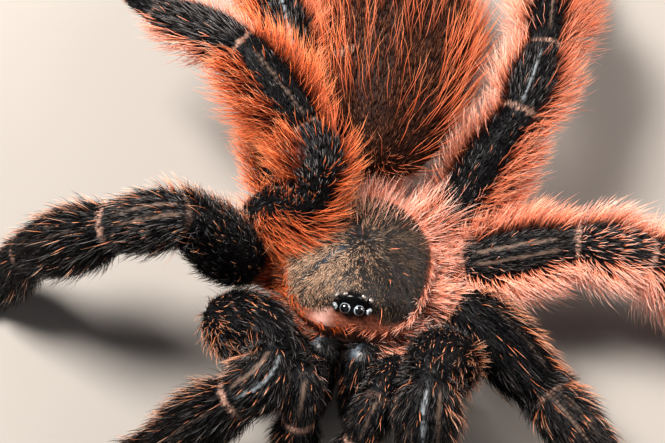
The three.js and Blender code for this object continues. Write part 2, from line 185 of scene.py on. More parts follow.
class Tube:
    """Stations along a body part: place, forward, back, side, radius, segment and share of it."""

    def __init__(self, name, place, radius, segment, share, rolls=(0.0, 0.0), flat=1.0):
        self.name, self.flat = name, flat
        step = np.r_[0, np.cumsum(np.linalg.norm(np.diff(place, axis=0), axis=1))]
        keep = np.r_[True, np.diff(step) > 1e-6]
        self.place, self.radius, self.run = place[keep], radius[keep], step[keep]
        self.segment, self.share = segment[keep], share[keep]
        self.forward = unit(np.gradient(self.place, self.run, axis=0))
        self.slope = np.gradient(self.radius, self.run)
        roll = np.interp(self.segment + self.share, np.arange(len(rolls)) + 0.5, np.radians(rolls))[:, None]
        level = unit(np.cross(self.forward, (0, 0, 1.0)))
        self.back = np.cross(level, self.forward) * np.cos(roll) + level * np.sin(roll)
        self.side = np.cross(self.forward, self.back)

    def at(self, run):
        """Values at distances along the tube."""
        def read(values):
            if values.ndim == 1:
                return np.interp(run, self.run, values)
            return np.stack([np.interp(run, self.run, values[:, axis]) for axis in range(3)], axis=1)
        nearest = np.clip(np.searchsorted(self.run, run), 0, len(self.run) - 1)
        return (read(self.place), unit(read(self.forward)), unit(read(self.back)), unit(read(self.side)),
                read(self.radius), read(self.slope), self.segment[nearest], self.share[nearest])


def rounded(joints, bend):
    """A line through the joints, each turned to an arc, as places, segments and shares."""
    ways = unit(np.diff(joints, axis=0))
    corners = [(0.0, None)]
    for middle, before, after in zip(joints[1:-1], ways, ways[1:]):
        angle = math.acos(np.clip(before @ after, -1, 1))
        inward = unit(after - before * (after @ before))
        corners.append((bend * math.tan(angle / 2), (middle, before, inward, angle)))
    corners.append((0.0, None))

    def arc(corner, parts):
        if corner[1] is None:
            return []
        reach, (middle, before, inward, angle) = corner
        return [middle + before * (bend * math.sin(angle * part) - reach)
                + inward * bend * (1 - math.cos(angle * part)) for part in parts]

    place, segment, share = [], [], []
    for s, way in enumerate(ways):
        start = joints[s] + way * corners[s][0]
        end = joints[s + 1] - way * corners[s + 1][0]
        line = arc(corners[s], np.linspace(0.5, 1, 6)[:-1])
        line += [start + (end - start) * part for part in np.linspace(0, 1, 24)]
        line += arc(corners[s + 1], np.linspace(0, 0.5, 6)[1:])
        run = np.r_[0, np.cumsum(np.linalg.norm(np.diff(line, axis=0), axis=1))]
        place += line
        segment += [s] * len(line)
        share += list(run / run[-1])
    return np.array(place), np.array(segment), np.array(share)


def limb_tube(name):
    kind = name.rsplit("_", 1)[0]
    joints = joints_of(name)
    place, segment, share = rounded(joints, BEND[kind])
    ends, bellies = (np.array(v) for v in CORE[kind])
    end = ends[segment] * (1 - share) + ends[segment + 1] * share
    radius = end + (bellies[segment] - end) * np.sin(np.pi * share**0.85)
    return Tube(name, place, radius, segment, share, ROLL.get(name, (0, 0)))


def straight_tube(name, start, end, profile, flat=1.0, arch=0.0):
    """A bar, its radius given at shares of its length."""
    share = np.linspace(0, 1, 60)
    place = start + (end - start) * share[:, None]
    place[:, 2] += arch * np.sin(np.pi * share)
    shares, radii = zip(*profile)
    radius = np.interp(share, shares, radii)
    return Tube(name, place, radius, np.zeros(60, int), share, flat=flat)


limbs = {name: limb_tube(name) for name in STANCE}
print("limbs", {name: round(float(tube.run[-1]), 1) for name, tube in limbs.items()})

# %% [markdown]
# The trunk: a coxa carries each limb, a breast plate joins them below, a thin waist leads to the
# abdomen, and two finger-like spinnerets close it. The chelicerae hang in front and carry fangs.

# %% The trunk's tubes
COXA_RADIUS = 2.3
CHELICERA_ROOT = (2.45, -8.8, -1.5)
CHELICERA_WAY = (3, -34)  # yaw and pitch
CHELICERA_LENGTH = 10.3
ABDOMEN_START, ABDOMEN_END = np.array([0.2, 12.6, 12.4]), np.array([-0.4, 46.5, 11.2])
ABDOMEN_PROFILE = (
    (0, 1.8), (0.02, 3.3), (0.05, 4.8), (0.09, 6.0), (0.14, 7.0), (0.2, 7.9), (0.28, 8.7), (0.36, 9.3),
    (0.45, 9.7), (0.54, 9.9), (0.62, 9.8), (0.7, 9.4), (0.78, 8.6), (0.85, 7.4), (0.9, 6.2),
    (0.94, 4.9), (0.97, 3.5), (1, 1.4),
)
SPINNERET_PROFILE = ((0, 0.65), (0.2, 0.95), (0.42, 0.8), (0.48, 0.7), (0.54, 0.78), (0.8, 0.62), (1, 0.3))
CHELICERA_PROFILE = ((0, 0.5), (0.02, 1.05), (0.05, 1.5), (0.1, 1.85), (0.18, 2.1), (0.4, 2.2), (0.7, 2.05),
                     (0.88, 1.6), (0.97, 1.05), (1, 0.5))

SIDES = (("left", 1), ("right", -1))


def chelicera_root(mirror):
    return on_body(CHELICERA_ROOT[0] * mirror, *CHELICERA_ROOT[1:])


def chelicera_way(mirror):
    return heading(CHELICERA_WAY[0] * mirror, CHELICERA_WAY[1])


trunk = {}
for side, mirror in SIDES:
    for kind, hip in HIPS.items():
        root = on_body(mirror * 4.2 * hip[0] / HIPS["leg_2"][0], hip[1] * 0.62, -4.4)
        tip = hip_of(kind, side)
        size = 0.72 if kind == "palp" else 1.0
        profile = ((0, COXA_RADIUS * size), (0.72, COXA_RADIUS * size), (0.8, 2.0 * size),
                   (0.88, 2.2 * size), (1.0, 1.9 * size))
        trunk[f"coxa_{kind}_{side}"] = straight_tube(f"coxa_{kind}_{side}", root, tip, profile)
    start = ABDOMEN_END + SHIFT + (1.7 * mirror, -1.2, -2.2)
    end = start + heading(180 - 12 * mirror, -8) * 6.0
    trunk[f"spinneret_{side}"] = straight_tube(f"spinneret_{side}", start, end, SPINNERET_PROFILE)
    start = chelicera_root(mirror)
    end = start + chelicera_way(mirror) * CHELICERA_LENGTH
    trunk[f"chelicera_{side}"] = straight_tube(f"chelicera_{side}", start, end, CHELICERA_PROFILE, 1.25)
trunk["abdomen"] = straight_tube(
    "abdomen", ABDOMEN_START + SHIFT, ABDOMEN_END + SHIFT, ABDOMEN_PROFILE, 0.9, 1.6)
trunk["waist"] = straight_tube(
    "waist", on_body(0, 3.3, -3.0), on_body(0, 12.2, -1.9), ((0, 2.6), (0.5, 1.9), (0.8, 1.3), (1, 1.5)))
print("trunk", len(trunk), "tubes")

# %% [markdown]
# Some small tools follow: they add, choose and smooth objects, and read and write vertices. One
# of them makes a mesh of a tube.

# %% Small tools
def deselect():
    if bpy.context.object and bpy.context.object.mode != "OBJECT":
        bpy.ops.object.mode_set(mode="OBJECT")
    bpy.ops.object.select_all(action="DESELECT")


def active():
    return bpy.context.view_layer.objects.active


def added(operator, **settings):
    """The object that one of Blender's add operators makes."""
    deselect()
    operator(**settings)
    return active()


def choose(*objects):
    deselect()
    for o in objects:
        o.select_set(True)
    bpy.context.view_layer.objects.active = objects[0]


def shade_smooth(o):
    choose(o)
    bpy.ops.object.shade_smooth()


def apply_modifier(o, kind, **settings):
    choose(o)
    modifier = o.modifiers.new(kind.title(), kind)
    for key, value in settings.items():
        setattr(modifier, key, value)
    bpy.ops.object.modifier_apply(modifier=modifier.name)


def vertices_of(o):
    co = np.empty(len(o.data.vertices) * 3)
    o.data.vertices.foreach_get("co", co)
    return co.reshape(-1, 3)


def put_vertices(o, co):
    o.data.vertices.foreach_set("co", np.asarray(co, np.float32).ravel())
    o.data.update()


def add_attribute(o, name, values):
    attribute = o.data.attributes.new(name, "FLOAT", "POINT")
    attribute.data.foreach_set("value", np.asarray(values, np.float32))


def tube_mesh(tube, corners=24):
    """A tube as a closed mesh: a curve with a thickness at each point, turned to a mesh."""
    o = added(bpy.ops.curve.primitive_nurbs_path_add)
    o.data.splines.clear()
    spline = o.data.splines.new("POLY")
    spline.points.add(len(tube.place) - 1)
    ends = np.c_[tube.place * MM, np.ones(len(tube.place))]
    spline.points.foreach_set("co", ends.ravel())
    spline.points.foreach_set("radius", tube.radius)
    o.data.bevel_depth = MM
    o.data.bevel_resolution = corners // 4
    o.data.use_fill_caps = True
    bpy.ops.object.convert(target="MESH")
    o.name = tube.name
    if tube.flat != 1.0:
        co = vertices_of(o)
        middle = tube.place.mean(0) * MM
        forward = unit(tube.place[-1] - tube.place[0])
        back = unit(np.array([0, 0, 1.0]) - forward * forward[2])
        off = (co - middle) @ back
        lines = np.array([np.interp((co - middle) @ forward, (tube.place * MM - middle) @ forward,
                                    (tube.place * MM - middle) @ back)])[0]
        put_vertices(o, co + np.outer((off - lines) * (tube.flat - 1), back))
    return o


# %% [markdown]
# The skin is one piece, so that no seam shows where a leg meets the body. Each tube is made by
# a curve with a thickness. Voxel remeshing then melts all of them into one closed surface, and
# a smoothing pass takes out the steps.

# %% The skin
SKIN_VOXEL = 0.00044

pieces = [tube_mesh(tube) for tube in (*limbs.values(), *trunk.values())
          if not tube.name.startswith("chelicera")]
BREAST_PLATE = ((0, -1, -4.2), (5.4, 8.2, 2.2))  # the middle and the half sizes of a flat ball
UNDER_SHIELD = ((0, -0.6, -1.9), (7.6, 8.6, 2.6))
for middle, half in (BREAST_PLATE, UNDER_SHIELD):
    pieces.append(added(bpy.ops.mesh.primitive_uv_sphere_add, segments=48, ring_count=24, radius=1,
                        location=on_body(*middle) * MM, rotation=(-HEAD_UP, 0, 0),
                        scale=[size * MM for size in half]))
choose(*pieces)
bpy.ops.object.join()
skin = active()
skin.name = "skin"
bpy.ops.object.transform_apply(location=True, rotation=True, scale=True)
apply_modifier(skin, "REMESH", mode="VOXEL", voxel_size=SKIN_VOXEL)
apply_modifier(skin, "SMOOTH", factor=0.5, iterations=3)
co = vertices_of(skin)
co[:, 2] = np.maximum(co[:, 2], 0.02 * MM)
put_vertices(skin, co)
shade_smooth(skin)
print("skin", len(skin.data.vertices), "vertices", len(skin.data.polygons), "faces")

# %% [markdown]
# The shield over the head is a hard plate. A sphere's vertices are moved on to its shape: a dome
# with a raised head, a hump for the eyes, a pit in the middle (the fovea) with grooves that run
# out from it, and a smooth strip, the clypeus, along its front edge.

# %% The shield's shape
HALF_WIDTH = 9.1
FRONT, REAR = (11.2, 3.0), (8.5, 2.0)  # each half's length and squareness, from the widest place
WIDEST_Y = 2.0
SHIELD_COAT = 0.3  # the depth of its short coat
FOVEA_Y = 2.6
HUMP_Y = -7.1  # the middle of the hump that carries the eyes
CLYPEUS = (1.5, 6.4)  # the strip's depth in the middle and its half width
GROOVES = ((52, 0.3, 11.0), (84, 0.16, 5.6), (114, 0.14, 5.2), (146, 0.12, 4.6))  # degrees, depth, reach


def bump(d, spread):
    return np.exp(-((d / spread) ** 2))


def shield_share(x, ahead):
    """How far out a place lies, 1 at the outline; x is a share of the half width, ahead in millimetres."""
    length, power = (np.where(ahead > 0, FRONT[i], REAR[i]) for i in (0, 1))
    return (np.abs(x) ** power + np.abs(ahead / length) ** power) ** (1 / power)


def shield_place(angle, share):
    """The place on the shield in a direction, at a share of the way to its outline."""
    length = np.where(np.sin(angle) < 0, FRONT[0], REAR[0])
    out = share / shield_share(np.cos(angle), -np.sin(angle) * length)
    return (HALF_WIDTH - 0.25) * np.cos(angle) * out, WIDEST_Y + (length - 0.25) * np.sin(angle) * out


def shield_top(x, y):
    """The shield's height over its rim, to the tips of its coat."""
    out = shield_share(x / HALF_WIDTH, WIDEST_Y - y)
    dome = 3.6 * np.sqrt(np.maximum(0, 1 - out**2.6))
    caput = 2.6 * bump(x, 5.2) * bump(y + 5.4, 5.6) * np.minimum(1, 3 * (1 - out) + 0.35)
    return dome + caput + 1.1 * bump(x, 2.0) * bump(y - HUMP_Y, 1.2)


def ridges(x, y):
    """1 along the two low ridges that run forward from the fovea."""
    off = np.degrees(np.arctan2(np.abs(x), FOVEA_Y - y)) - 26
    return bump(off, 7) * bump(np.hypot(x, FOVEA_Y - y) - 3.2, 2.4)


def shield_skin(x, y):
    """The same without the coat, with the fovea and the grooves."""
    top = shield_top(x, y) - SHIELD_COAT * (1 - 0.7 * bump(x, 2.4) * bump(y - HUMP_Y, 1.6))
    away, ahead = np.abs(x), FOVEA_Y - y
    reach = np.hypot(x, ahead)
    angle = np.degrees(np.arctan2(away, ahead))
    for turn, depth, end in GROOVES:
        off = np.radians(angle - turn + 0.8 * reach) * reach
        top = top - depth * bump(off, 0.42) * np.clip((end - reach) / 2.5, 0, 1) * np.clip(reach, 0, 1)
    pit = bump(x, 1.2) * bump(y - FOVEA_Y - 0.08 * x**2, 0.38)
    return top - 0.6 * pit + 0.12 * bump(x, 1.3) * bump(ahead - 0.75, 0.5) + 0.14 * ridges(x, y)


def clypeus_share(x, y, share):
    """1 on the smooth strip along the front edge, 0 elsewhere."""
    depth = CLYPEUS[0] * (1 - (np.abs(x) / CLYPEUS[1]) ** 3)
    return np.clip((depth - (1 - share) * FRONT[0]) / 0.3 + 0.5, 0, 1) * (y < 0) * (np.abs(x) < CLYPEUS[1])


shield = added(bpy.ops.mesh.primitive_uv_sphere_add, segments=192, ring_count=128, radius=1)
shield.name = "carapace_shell"
ball = vertices_of(shield)
spread = np.sin(np.arccos(np.clip(ball[:, 2], -1, 1)))
angle = np.arctan2(ball[:, 1], ball[:, 0])
upper = ball[:, 2] >= -1e-6
reach = np.where(upper, np.minimum(spread, 1) ** 0.9, np.minimum(spread, 1) ** 0.5)
x, y = shield_place(angle, reach)
lip = 0.10 * bump(reach - 0.985, 0.02)
z = np.where(upper, np.maximum(shield_skin(x, y), 0) + lip, -0.95 * (1 - reach**6) - 0.05)
put_vertices(shield, on_body(x, y, z) * MM)
add_attribute(shield, "clypeus", clypeus_share(x, y, reach))
add_attribute(shield, "tubercle", np.clip(1.5 - 1.5 * np.hypot(x / 2.75, (y + 7.05) / 1.35) ** 3, 0, 1))
add_attribute(shield, "rim", np.clip((reach - 0.93) / 0.05, 0, 1))
deep = np.clip((shield_top(x, y) - SHIELD_COAT - shield_skin(x, y)) / 0.15, 0, 1) * upper
# painted reflection: the grooves on the animal's right, towards the key light, take a bluish colour for the
# sky
add_attribute(shield, "groove", deep * (x < 0) * bump(np.hypot(x, FOVEA_Y - y) - 4.4, 2.0))
# painted sheen: a pale pink patch on the right end of the clypeus, on the side of the key light
add_attribute(shield, "milky", bump(x + 3.4, 1.0))
shade_smooth(shield)
print("shield", len(shield.data.polygons), "faces")

# %% [markdown]
# A chelicera is a stout hard case, glossy where it is bare above. Under it a fang is folded back.
# Both are tubes. The case is remeshed and smoothed, so that its ends are round and closed, and the
# bare patch on its outer back is marked for a painted highlight: a grey-blue colour where the light
# would shine on it.

# %% Chelicerae, fangs and claws
cases = []
for side in ("left", "right"):
    tube = trunk[f"chelicera_{side}"]
    case = tube_mesh(tube, 32)
    apply_modifier(case, "REMESH", mode="VOXEL", voxel_size=0.00018)
    apply_modifier(case, "SMOOTH", factor=0.6, iterations=8)
    case.name = f"chelicera_case_{side}"
    off = vertices_of(case) / MM - tube.place[0]
    ahead, above, beside = (off @ axis[0] for axis in (tube.forward, tube.back, tube.side))
    # painted highlight: where it is marked, the case's colour turns grey-blue as if lit
    add_attribute(case, "bloom", bump(ahead - 0.8, 0.8) * bump(np.arctan2(beside, above) - 0.7, 0.4))
    shade_smooth(case)
    cases.append(case)


def fang_tube(side, mirror):
    """A bow that thins to its tip, folded back under its chelicera."""
    forward = chelicera_way(mirror)
    across = unit(np.cross(forward, (0, 0, 1.0)))
    below = np.cross(forward, across)
    root = chelicera_root(mirror) + forward * 9.03 + below * 3.012
    share = np.linspace(0, 1, 40)
    place = (root - np.outer(4.606 * np.sin(share * 1.5), forward)
             + np.outer(1.7 * np.sin(share * np.pi), below))
    radius = 0.68 * (1 - share) ** 0.8 + 0.05
    return Tube(f"fang_{side}", place, radius, np.zeros(40, int), share)


def claw_tubes(name, tube):
    """Two small hooks at the end of a foot."""
    tip, forward, side = tube.place[-1], tube.forward[-1], tube.side[-1]
    share = np.linspace(0, 1, 16)
    for mirror in (-1, 1):
        start = tip + side * 0.3 * mirror - forward * 0.3
        place = start + np.outer(share * 1.3, forward + side * 0.18 * mirror)
        place[:, 2] += 0.35 * np.sin(np.pi * share) - 0.55 * share**2
        place[:, 2] = np.maximum(place[:, 2], 0.12)
        yield Tube(f"claw_{name}", place, 0.13 * (1 - share) + 0.02, np.zeros(16, int), share)


fangs = []
for side, mirror in SIDES:
    fangs.append(tube_mesh(fang_tube(side, mirror)))
    fangs[-1].name = f"fang_horn_{side}"
claws = [tube_mesh(claw, 8) for name, tube in limbs.items() for claw in claw_tubes(name, tube)]
choose(*claws)
bpy.ops.object.join()
claws = active()
claws.name = "claws"
for o in (*fangs, claws):
    shade_smooth(o)
print("fangs", len(fangs), "claws", len(claws.data.polygons), "faces")

# %% [markdown]
# Eight eyes stand on the hump in two rows. The two front middle ones are round and dark with a
# pale ring, the front side ones are pearly ovals and the rear ones are small and amber. Each is a
# glossy ball, sunk by about a third of its radius.

# %% Eyes
EYES = {  # x, y, radius, the direction that it looks, and how oval it is
    "front_middle": (0.78, -7.6, 0.7, (0.30, -0.55, 0.85), 1.0),
    "front_side": (1.98, -7.4, 0.5, (0.85, -0.55, 0.60), 0.85),
    "rear_side": (1.96, -6.45, 0.38, (0.80, 0.25, 0.75), 0.8),
    "rear_middle": (1.08, -6.45, 0.36, (0.35, 0.35, 0.90), 0.75),
}
EYE_SINK = 0.35
eyes = {}
for side, mirror in SIDES:
    for name, (x, y, radius, look, oval) in EYES.items():
        look = unit(turned(look[0] * mirror, look[1], look[2]))
        middle = on_body(x * mirror, y, shield_top(x, y) - radius * EYE_SINK)
        turn = Vector(look).to_track_quat("Z", "Y").to_euler()
        eye = added(bpy.ops.mesh.primitive_uv_sphere_add, segments=48, ring_count=32, radius=radius * MM,
                    rotation=turn, location=middle * MM, scale=(1.0, oval, 1.0))
        bpy.ops.object.transform_apply(location=True, rotation=True, scale=True)
        bpy.ops.object.shade_smooth()
        eye.name = f"eye_ball_{name}_{side}"
        off = vertices_of(eye) / MM - middle
        add_attribute(eye, "off_axis", np.degrees(np.arccos(np.clip(unit(off) @ look, -1, 1))) / 90)
        eyes[f"eye_{name}_{side}"] = eye
print("eyes", len(eyes))

# %% [markdown]
# Colours are written as they look on a screen and turned to the linear values that Blender
# computes with. One small function adds a node with its settings and links.

# %% Colours and nodes
def linear(code):
    parts = [int(code[i:i + 2], 16) / 255 for i in (1, 3, 5)]
    return (*[v / 12.92 if v <= 0.04045 else ((v + 0.055) / 1.055) ** 2.4 for v in parts], 1.0)


def add_node(material, kind, links=(), **settings):
    """Adds a node, sets its values and sockets, and links (socket, from node, from socket)."""
    tree = material.node_tree
    node = tree.nodes.new(kind)
    for key, value in settings.items():
        if key in node.inputs:
            node.inputs[key].default_value = value
        else:
            setattr(node, key, value)
    for socket, source, out in links:
        tree.links.new(source.outputs[out], node.inputs[socket])
    return node


def new_material(name, **sockets):
    material = bpy.data.materials.new(name)
    material.use_nodes = True
    shader = material.node_tree.nodes["Principled BSDF"]
    for key, value in sockets.items():
        shader.inputs[key.replace("_", " ")].default_value = value
    return material, shader


def link(material, source, out, shader, socket):
    material.node_tree.links.new(source.outputs[out], shader.inputs[socket])


def ramp(material, source, stops):
    node = add_node(material, "ShaderNodeValToRGB", [("Fac", source, "Fac")])
    elements = node.color_ramp.elements
    while len(elements) < len(stops):
        elements.new(0.5)
    for element, (place, code) in zip(elements, stops):
        element.position = place
        element.color = linear(code)
    return node


def attribute(material, name):
    """A value that the mesh carries at each vertex."""
    return add_node(material, "ShaderNodeAttribute", attribute_name=name)


def mix(material, fac, first, second, blend="MIX"):
    """Mixes two colours; each is a node with a Color or Result, or a hex value."""
    node = add_node(material, "ShaderNodeMix", data_type="RGBA", blend_type=blend)
    node.inputs[0].default_value = 1.0
    if fac is not None:
        material.node_tree.links.new(fac.outputs["Fac"], node.inputs[0])
    for socket, value in ((6, first), (7, second)):
        if isinstance(value, str):
            node.inputs[socket].default_value = linear(value)
        else:
            out = 2 if value.bl_idname == "ShaderNodeMix" else 0
            material.node_tree.links.new(value.outputs[out], node.inputs[socket])
    return node


def layered(material, colour, layers):
    """Lays colours over one another, each where the mesh's value of its name is high."""
    for name, over in layers:
        colour = mix(material, attribute(material, name), colour, over)
    return colour


# %% [markdown]
# A hair is chitin like the rest of the animal: a smooth, solid bristle with a soft shine. Its
# colour runs from root to tip. Each hair carries where along it a point is, a tone of its own
# and how pale it is, so one material gives thousands of different hairs. The velvet shines least,
# as its hairs are packed and dark; the orange setae are smooth and take the light along their bend.

# %% Hair materials
def hair_material(name, stops, pale_stops, roughness=0.42, shine=0.5):
    material, shader = new_material(name, Roughness=roughness, IOR=1.55, Specular_IOR_Level=shine)
    along = attribute(material, "along")
    own = ramp(material, along, stops)
    mixed = layered(material, own, (("pale", ramp(material, along, pale_stops)),))
    toned = mix(material, None, mixed, attribute(material, "tone"), "MULTIPLY")
    link(material, toned, 2, shader, "Base Color")
    return material


hair = {
    # The velvet's pale colours serve both real grey hairs and painted glints of light on the black coat.
    "velvet": hair_material("velvet_bristle", ((0, "#010102"), (0.5, "#050506"), (1, "#0F1014")),
                            ((0, "#141416"), (0.5, "#6A6462"), (1, "#CCCACC")), 0.36, 0.08),
    "dash": hair_material("orange_bristle", ((0, "#6A2C12"), (0.35, "#CC6E3A"), (1, "#FFBE94")),
                          ((0, "#7A5A4C"), (0.5, "#D8AC92"), (1, "#F6E0D0")), 0.45, 0.4),
    "fringe": hair_material("fringe_seta", ((0, "#1E0702"), (0.25, "#8E3204"), (0.6, "#EE6212"),
                                            (1, "#FF9F5A")),
                            ((0, "#A04C30"), (0.3, "#FFA07C"), (1, "#FFE4D8")), 0.45, 0.25),
    "shield": hair_material("shield_seta", ((0, "#050404"), (0.5, "#110D0B"), (1, "#30261F")),
                            ((0, "#6A4832"), (0.35, "#E4AE86"), (1, "#FFF0DA")), 0.45, 0.2),
    "abdomen": hair_material("abdomen_bristle", ((0, "#0B0503"), (0.5, "#28120A"), (1, "#4E2A1A")),
                             ((0, "#2A140E"), (0.5, "#844A32"), (1, "#C8886A")), 0.6, 0.07),
}
print("hair materials", list(hair))

# %% [markdown]
# The coat's roots are spread at random over each tube, as many to each square millimetre as its
# recipe says, and a chance for each place leaves markings bare. A hair starts along its lift
# from the skin and bends back to lie along the limb.

# %% Roots on a tube
def roots_on(tube, per_mm2, chance=None, strip=(0.0, 1.0)):
    """Places for hairs on a tube, with their directions and their place on its unwrap."""
    slant = np.hypot(np.diff(tube.run), np.diff(tube.radius))
    cells = np.r_[0, np.cumsum(slant * (tube.radius[1:] + tube.radius[:-1]) / 2)]
    count = int(2 * math.pi * cells[-1] * per_mm2 * THINNED)
    run = np.interp(rng.random(count) * cells[-1], cells, tube.run)
    turn = rng.uniform(-math.pi, math.pi, count)
    place, forward, back, side, radius, slope, segment, share = tube.at(run)
    if chance is not None:
        keep = rng.random(count) < chance(segment, share, turn, radius)
        run, turn, place, forward, back, side, radius, slope, segment, share = (
            v[keep] for v in (run, turn, place, forward, back, side, radius, slope, segment, share))
    c, s = np.cos(turn)[:, None], np.sin(turn)[:, None]
    root = place + radius[:, None] * (back * c * tube.flat + side * s)
    spoke = unit(back * c / tube.flat + side * s)
    normal = unit(spoke - forward * slope[:, None])
    forward = unit(forward + spoke * slope[:, None])
    unwrap = np.stack([0.01 + 0.98 * run / tube.run[-1],
                       strip[0] + (strip[1] - strip[0]) * (0.03 + 0.94 * (turn / (2 * math.pi) + 0.5))],
                      axis=1)
    return {"root": root, "forward": forward, "normal": normal, "side": np.cross(forward, normal),
            "segment": segment, "share": share, "turn": turn, "unwrap": unwrap}


def drift(place, size, seed):
    """A smooth wandering value of each place, between about -1 and 1, size millimetres across."""
    own = np.random.default_rng(seed)
    total = np.zeros(len(place))
    for _ in range(5):
        wave = unit(own.normal(size=3)) * 2 * math.pi / (size * own.uniform(0.7, 1.4))
        total += np.sin(place @ wave + own.uniform(0, 6.28))
    return total / 2.4


def lay(roots, length, lift, curl=0.3, width=0.1, lean=0.0, jitter=6, pale=0.0, tone=(0.7, 1.15),
        wave=0.0, clump=7):
    """Hairs from roots: length in millimetres, lift and lean in degrees, each a number or an array."""
    count = len(roots["root"])
    tufted = clump * drift(roots["root"], 1.6, 1)
    swept = clump * drift(roots["root"], 2.1, 2)
    up = np.radians(lift + rng.normal(0, jitter, count) + tufted)
    over = np.radians(lean + rng.normal(0, jitter, count) + swept)
    out = (roots["forward"] * (np.cos(up) * np.cos(over))[:, None]
           + roots["normal"] * np.sin(up)[:, None]
           + roots["side"] * (np.cos(up) * np.sin(over))[:, None])
    bend = (roots["forward"] * 0.75 - roots["normal"] * 0.65) * np.broadcast_to(curl, count)[:, None]
    bend = bend + roots["side"] * rng.normal(0, 0.08, count)[:, None]
    hairs = dict(roots)
    hairs.update(
        out=unit(out), bend=bend, length=np.broadcast_to(length, count) * rng.uniform(0.75, 1.2, count),
        width=np.broadcast_to(width, count) * rng.uniform(0.8, 1.2, count),
        pale=np.clip(np.broadcast_to(pale, count) * rng.uniform(0.5, 1.3, count), 0, 1),
        tone=rng.uniform(*tone, count), wave=np.broadcast_to(wave, count))
    return hairs


# %% [markdown]
# Each hair becomes a closed three-sided spike that thins to its tip. All the hairs of one piece
# are joined in one mesh, written from arrays, with a small patch of the unwrap for each.

# %% Hairs to a mesh
SUNK = 0.12  # how far a hair's foot lies under the skin, in millimetres
PATCH = 0.003  # the width of a hair's patch on the unwrap
TALLEST = CAD_BOX[1][2] / MM + 0.3  # a hair that would stand higher is shortened
coat_triangles = 0


def coat(name, batches, material, rings=3):
    """One coat piece from batches of hairs. A spike has that many rings and a tip."""
    global coat_triangles
    h = {key: np.concatenate([b[key] for b in batches]) for key in
         ("root", "out", "bend", "normal", "side", "length", "width", "unwrap", "pale", "tone", "wave")}
    count = len(h["root"])
    rise = h["length"] * (h["out"] + h["bend"])[:, 2]
    h["length"] = h["length"] * np.clip((TALLEST - h["root"][:, 2]) / np.maximum(rise, 0.01), 0.2, 1)
    t = np.linspace(0, 1, rings + 1)
    phase = rng.uniform(0, 6.28, count)[:, None]
    sway = h["wave"][:, None] * t * np.sin(phase + t * 9)
    line = (h["root"][:, None] - h["normal"][:, None] * SUNK
            + h["length"][:, None, None] * (
                t[:, None] * h["out"][:, None] + (t**2)[:, None] * h["bend"][:, None]
                + sway[..., None] * h["side"][:, None]))
    way = unit(h["out"][:, None] + 2 * t[:-1, None] * h["bend"][:, None])
    one = unit(np.cross(way, h["normal"][:, None] + 0.01))
    two = np.cross(way, one)
    thick = h["width"][:, None] / 2 * (1 - t[:-1]) ** 0.55
    corner = np.arange(3) * 2 * math.pi / 3
    ring = line[:, :-1, None] + thick[..., None, None] * (
        np.cos(corner)[:, None] * one[:, :, None] + np.sin(corner)[:, None] * two[:, :, None])
    points = np.concatenate([ring.reshape(count, -1, 3), line[:, -1:]], axis=1)
    points[..., 2] = np.maximum(points[..., 2], 0.03)
    size = 3 * rings + 1
    faces = [(2, 1, 0)]
    for r in range(rings - 1):
        for c in range(3):
            a, b = 3 * r + c, 3 * r + (c + 1) % 3
            faces += [(a, b, b + 3), (a, b + 3, a + 3)]
    faces += [(3 * rings - 3 + c, 3 * rings - 3 + (c + 1) % 3, 3 * rings) for c in range(3)]
    index = (np.array(faces)[None] + np.arange(count)[:, None, None] * size).reshape(-1)
    mesh = bpy.data.meshes.new(name)
    mesh.vertices.add(count * size)
    mesh.vertices.foreach_set("co", (points * MM).astype(np.float32).ravel())
    mesh.loops.add(len(index))
    mesh.loops.foreach_set("vertex_index", index.astype(np.int32))
    mesh.polygons.add(len(index) // 3)
    mesh.polygons.foreach_set("loop_start", np.arange(0, len(index), 3, dtype=np.int32))
    mesh.polygons.foreach_set("use_smooth", np.ones(len(index) // 3, bool))
    mesh.update()
    along = np.r_[np.repeat(t[:-1], 3), 1.0]
    across = np.r_[np.tile(np.arange(3) / 2 - 0.5, rings), 0.0]
    spot = h["unwrap"][:, None] + PATCH * np.stack([along - 0.5, across], axis=1)
    mesh.uv_layers.new(name="OFBake").data.foreach_set(
        "uv", spot.reshape(-1, 2)[index].astype(np.float32).ravel())
    o = bpy.data.objects.new(name, mesh)
    bpy.context.scene.collection.objects.link(o)
    add_attribute(o, "along", np.tile(along, count))
    add_attribute(o, "tone", np.repeat(h["tone"], size))
    add_attribute(o, "pale", np.repeat(h["pale"], size))
    mesh.materials.append(hair[material])
    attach(o, "root")
    coat_triangles += len(index) // 3
    print(f"{name}: {count} hairs, {len(index) // 3} triangles")
    return o


# %% [markdown]
# Markings are bare of hair. Each joint of a leg has a pale lip across its back, and most segments
# have one or two bare stripes that run along them. The same rule colours the skin and thins the
# coat.

# %% Markings
# By segment: the turn round the leg towards its rear flank, the half width and the colour.
# A pale stripe is bare cuticle; its bluish pale grey is partly a painted highlight.
LEG_STRIPES = {
    "leg_1": {1: ((16, 0.26, "brown"), (-14, 0.2, "white")), 2: ((-12, 0.14, "brown"),)},
    "leg_2": {0: ((24, 0.1, "brown"), (32, 0.08, "brown")), 1: ((-14, 0.2, "brown"), (12, 0.16, "brown")),
              2: ((-10, 0.12, "brown"),)},
    "leg_3": {0: ((-14, 0.2, "brown"), (12, 0.22, "brown")), 2: ((0, 0.16, "brown"),)},
    "leg_4": {1: ((0, 0.17, "white"),), 2: ((-10, 0.14, "brown"),)},
    "palp": {1: ((0, 0.16, "brown"),)},
}
LIP = 0.5  # the width of a joint's pale lip


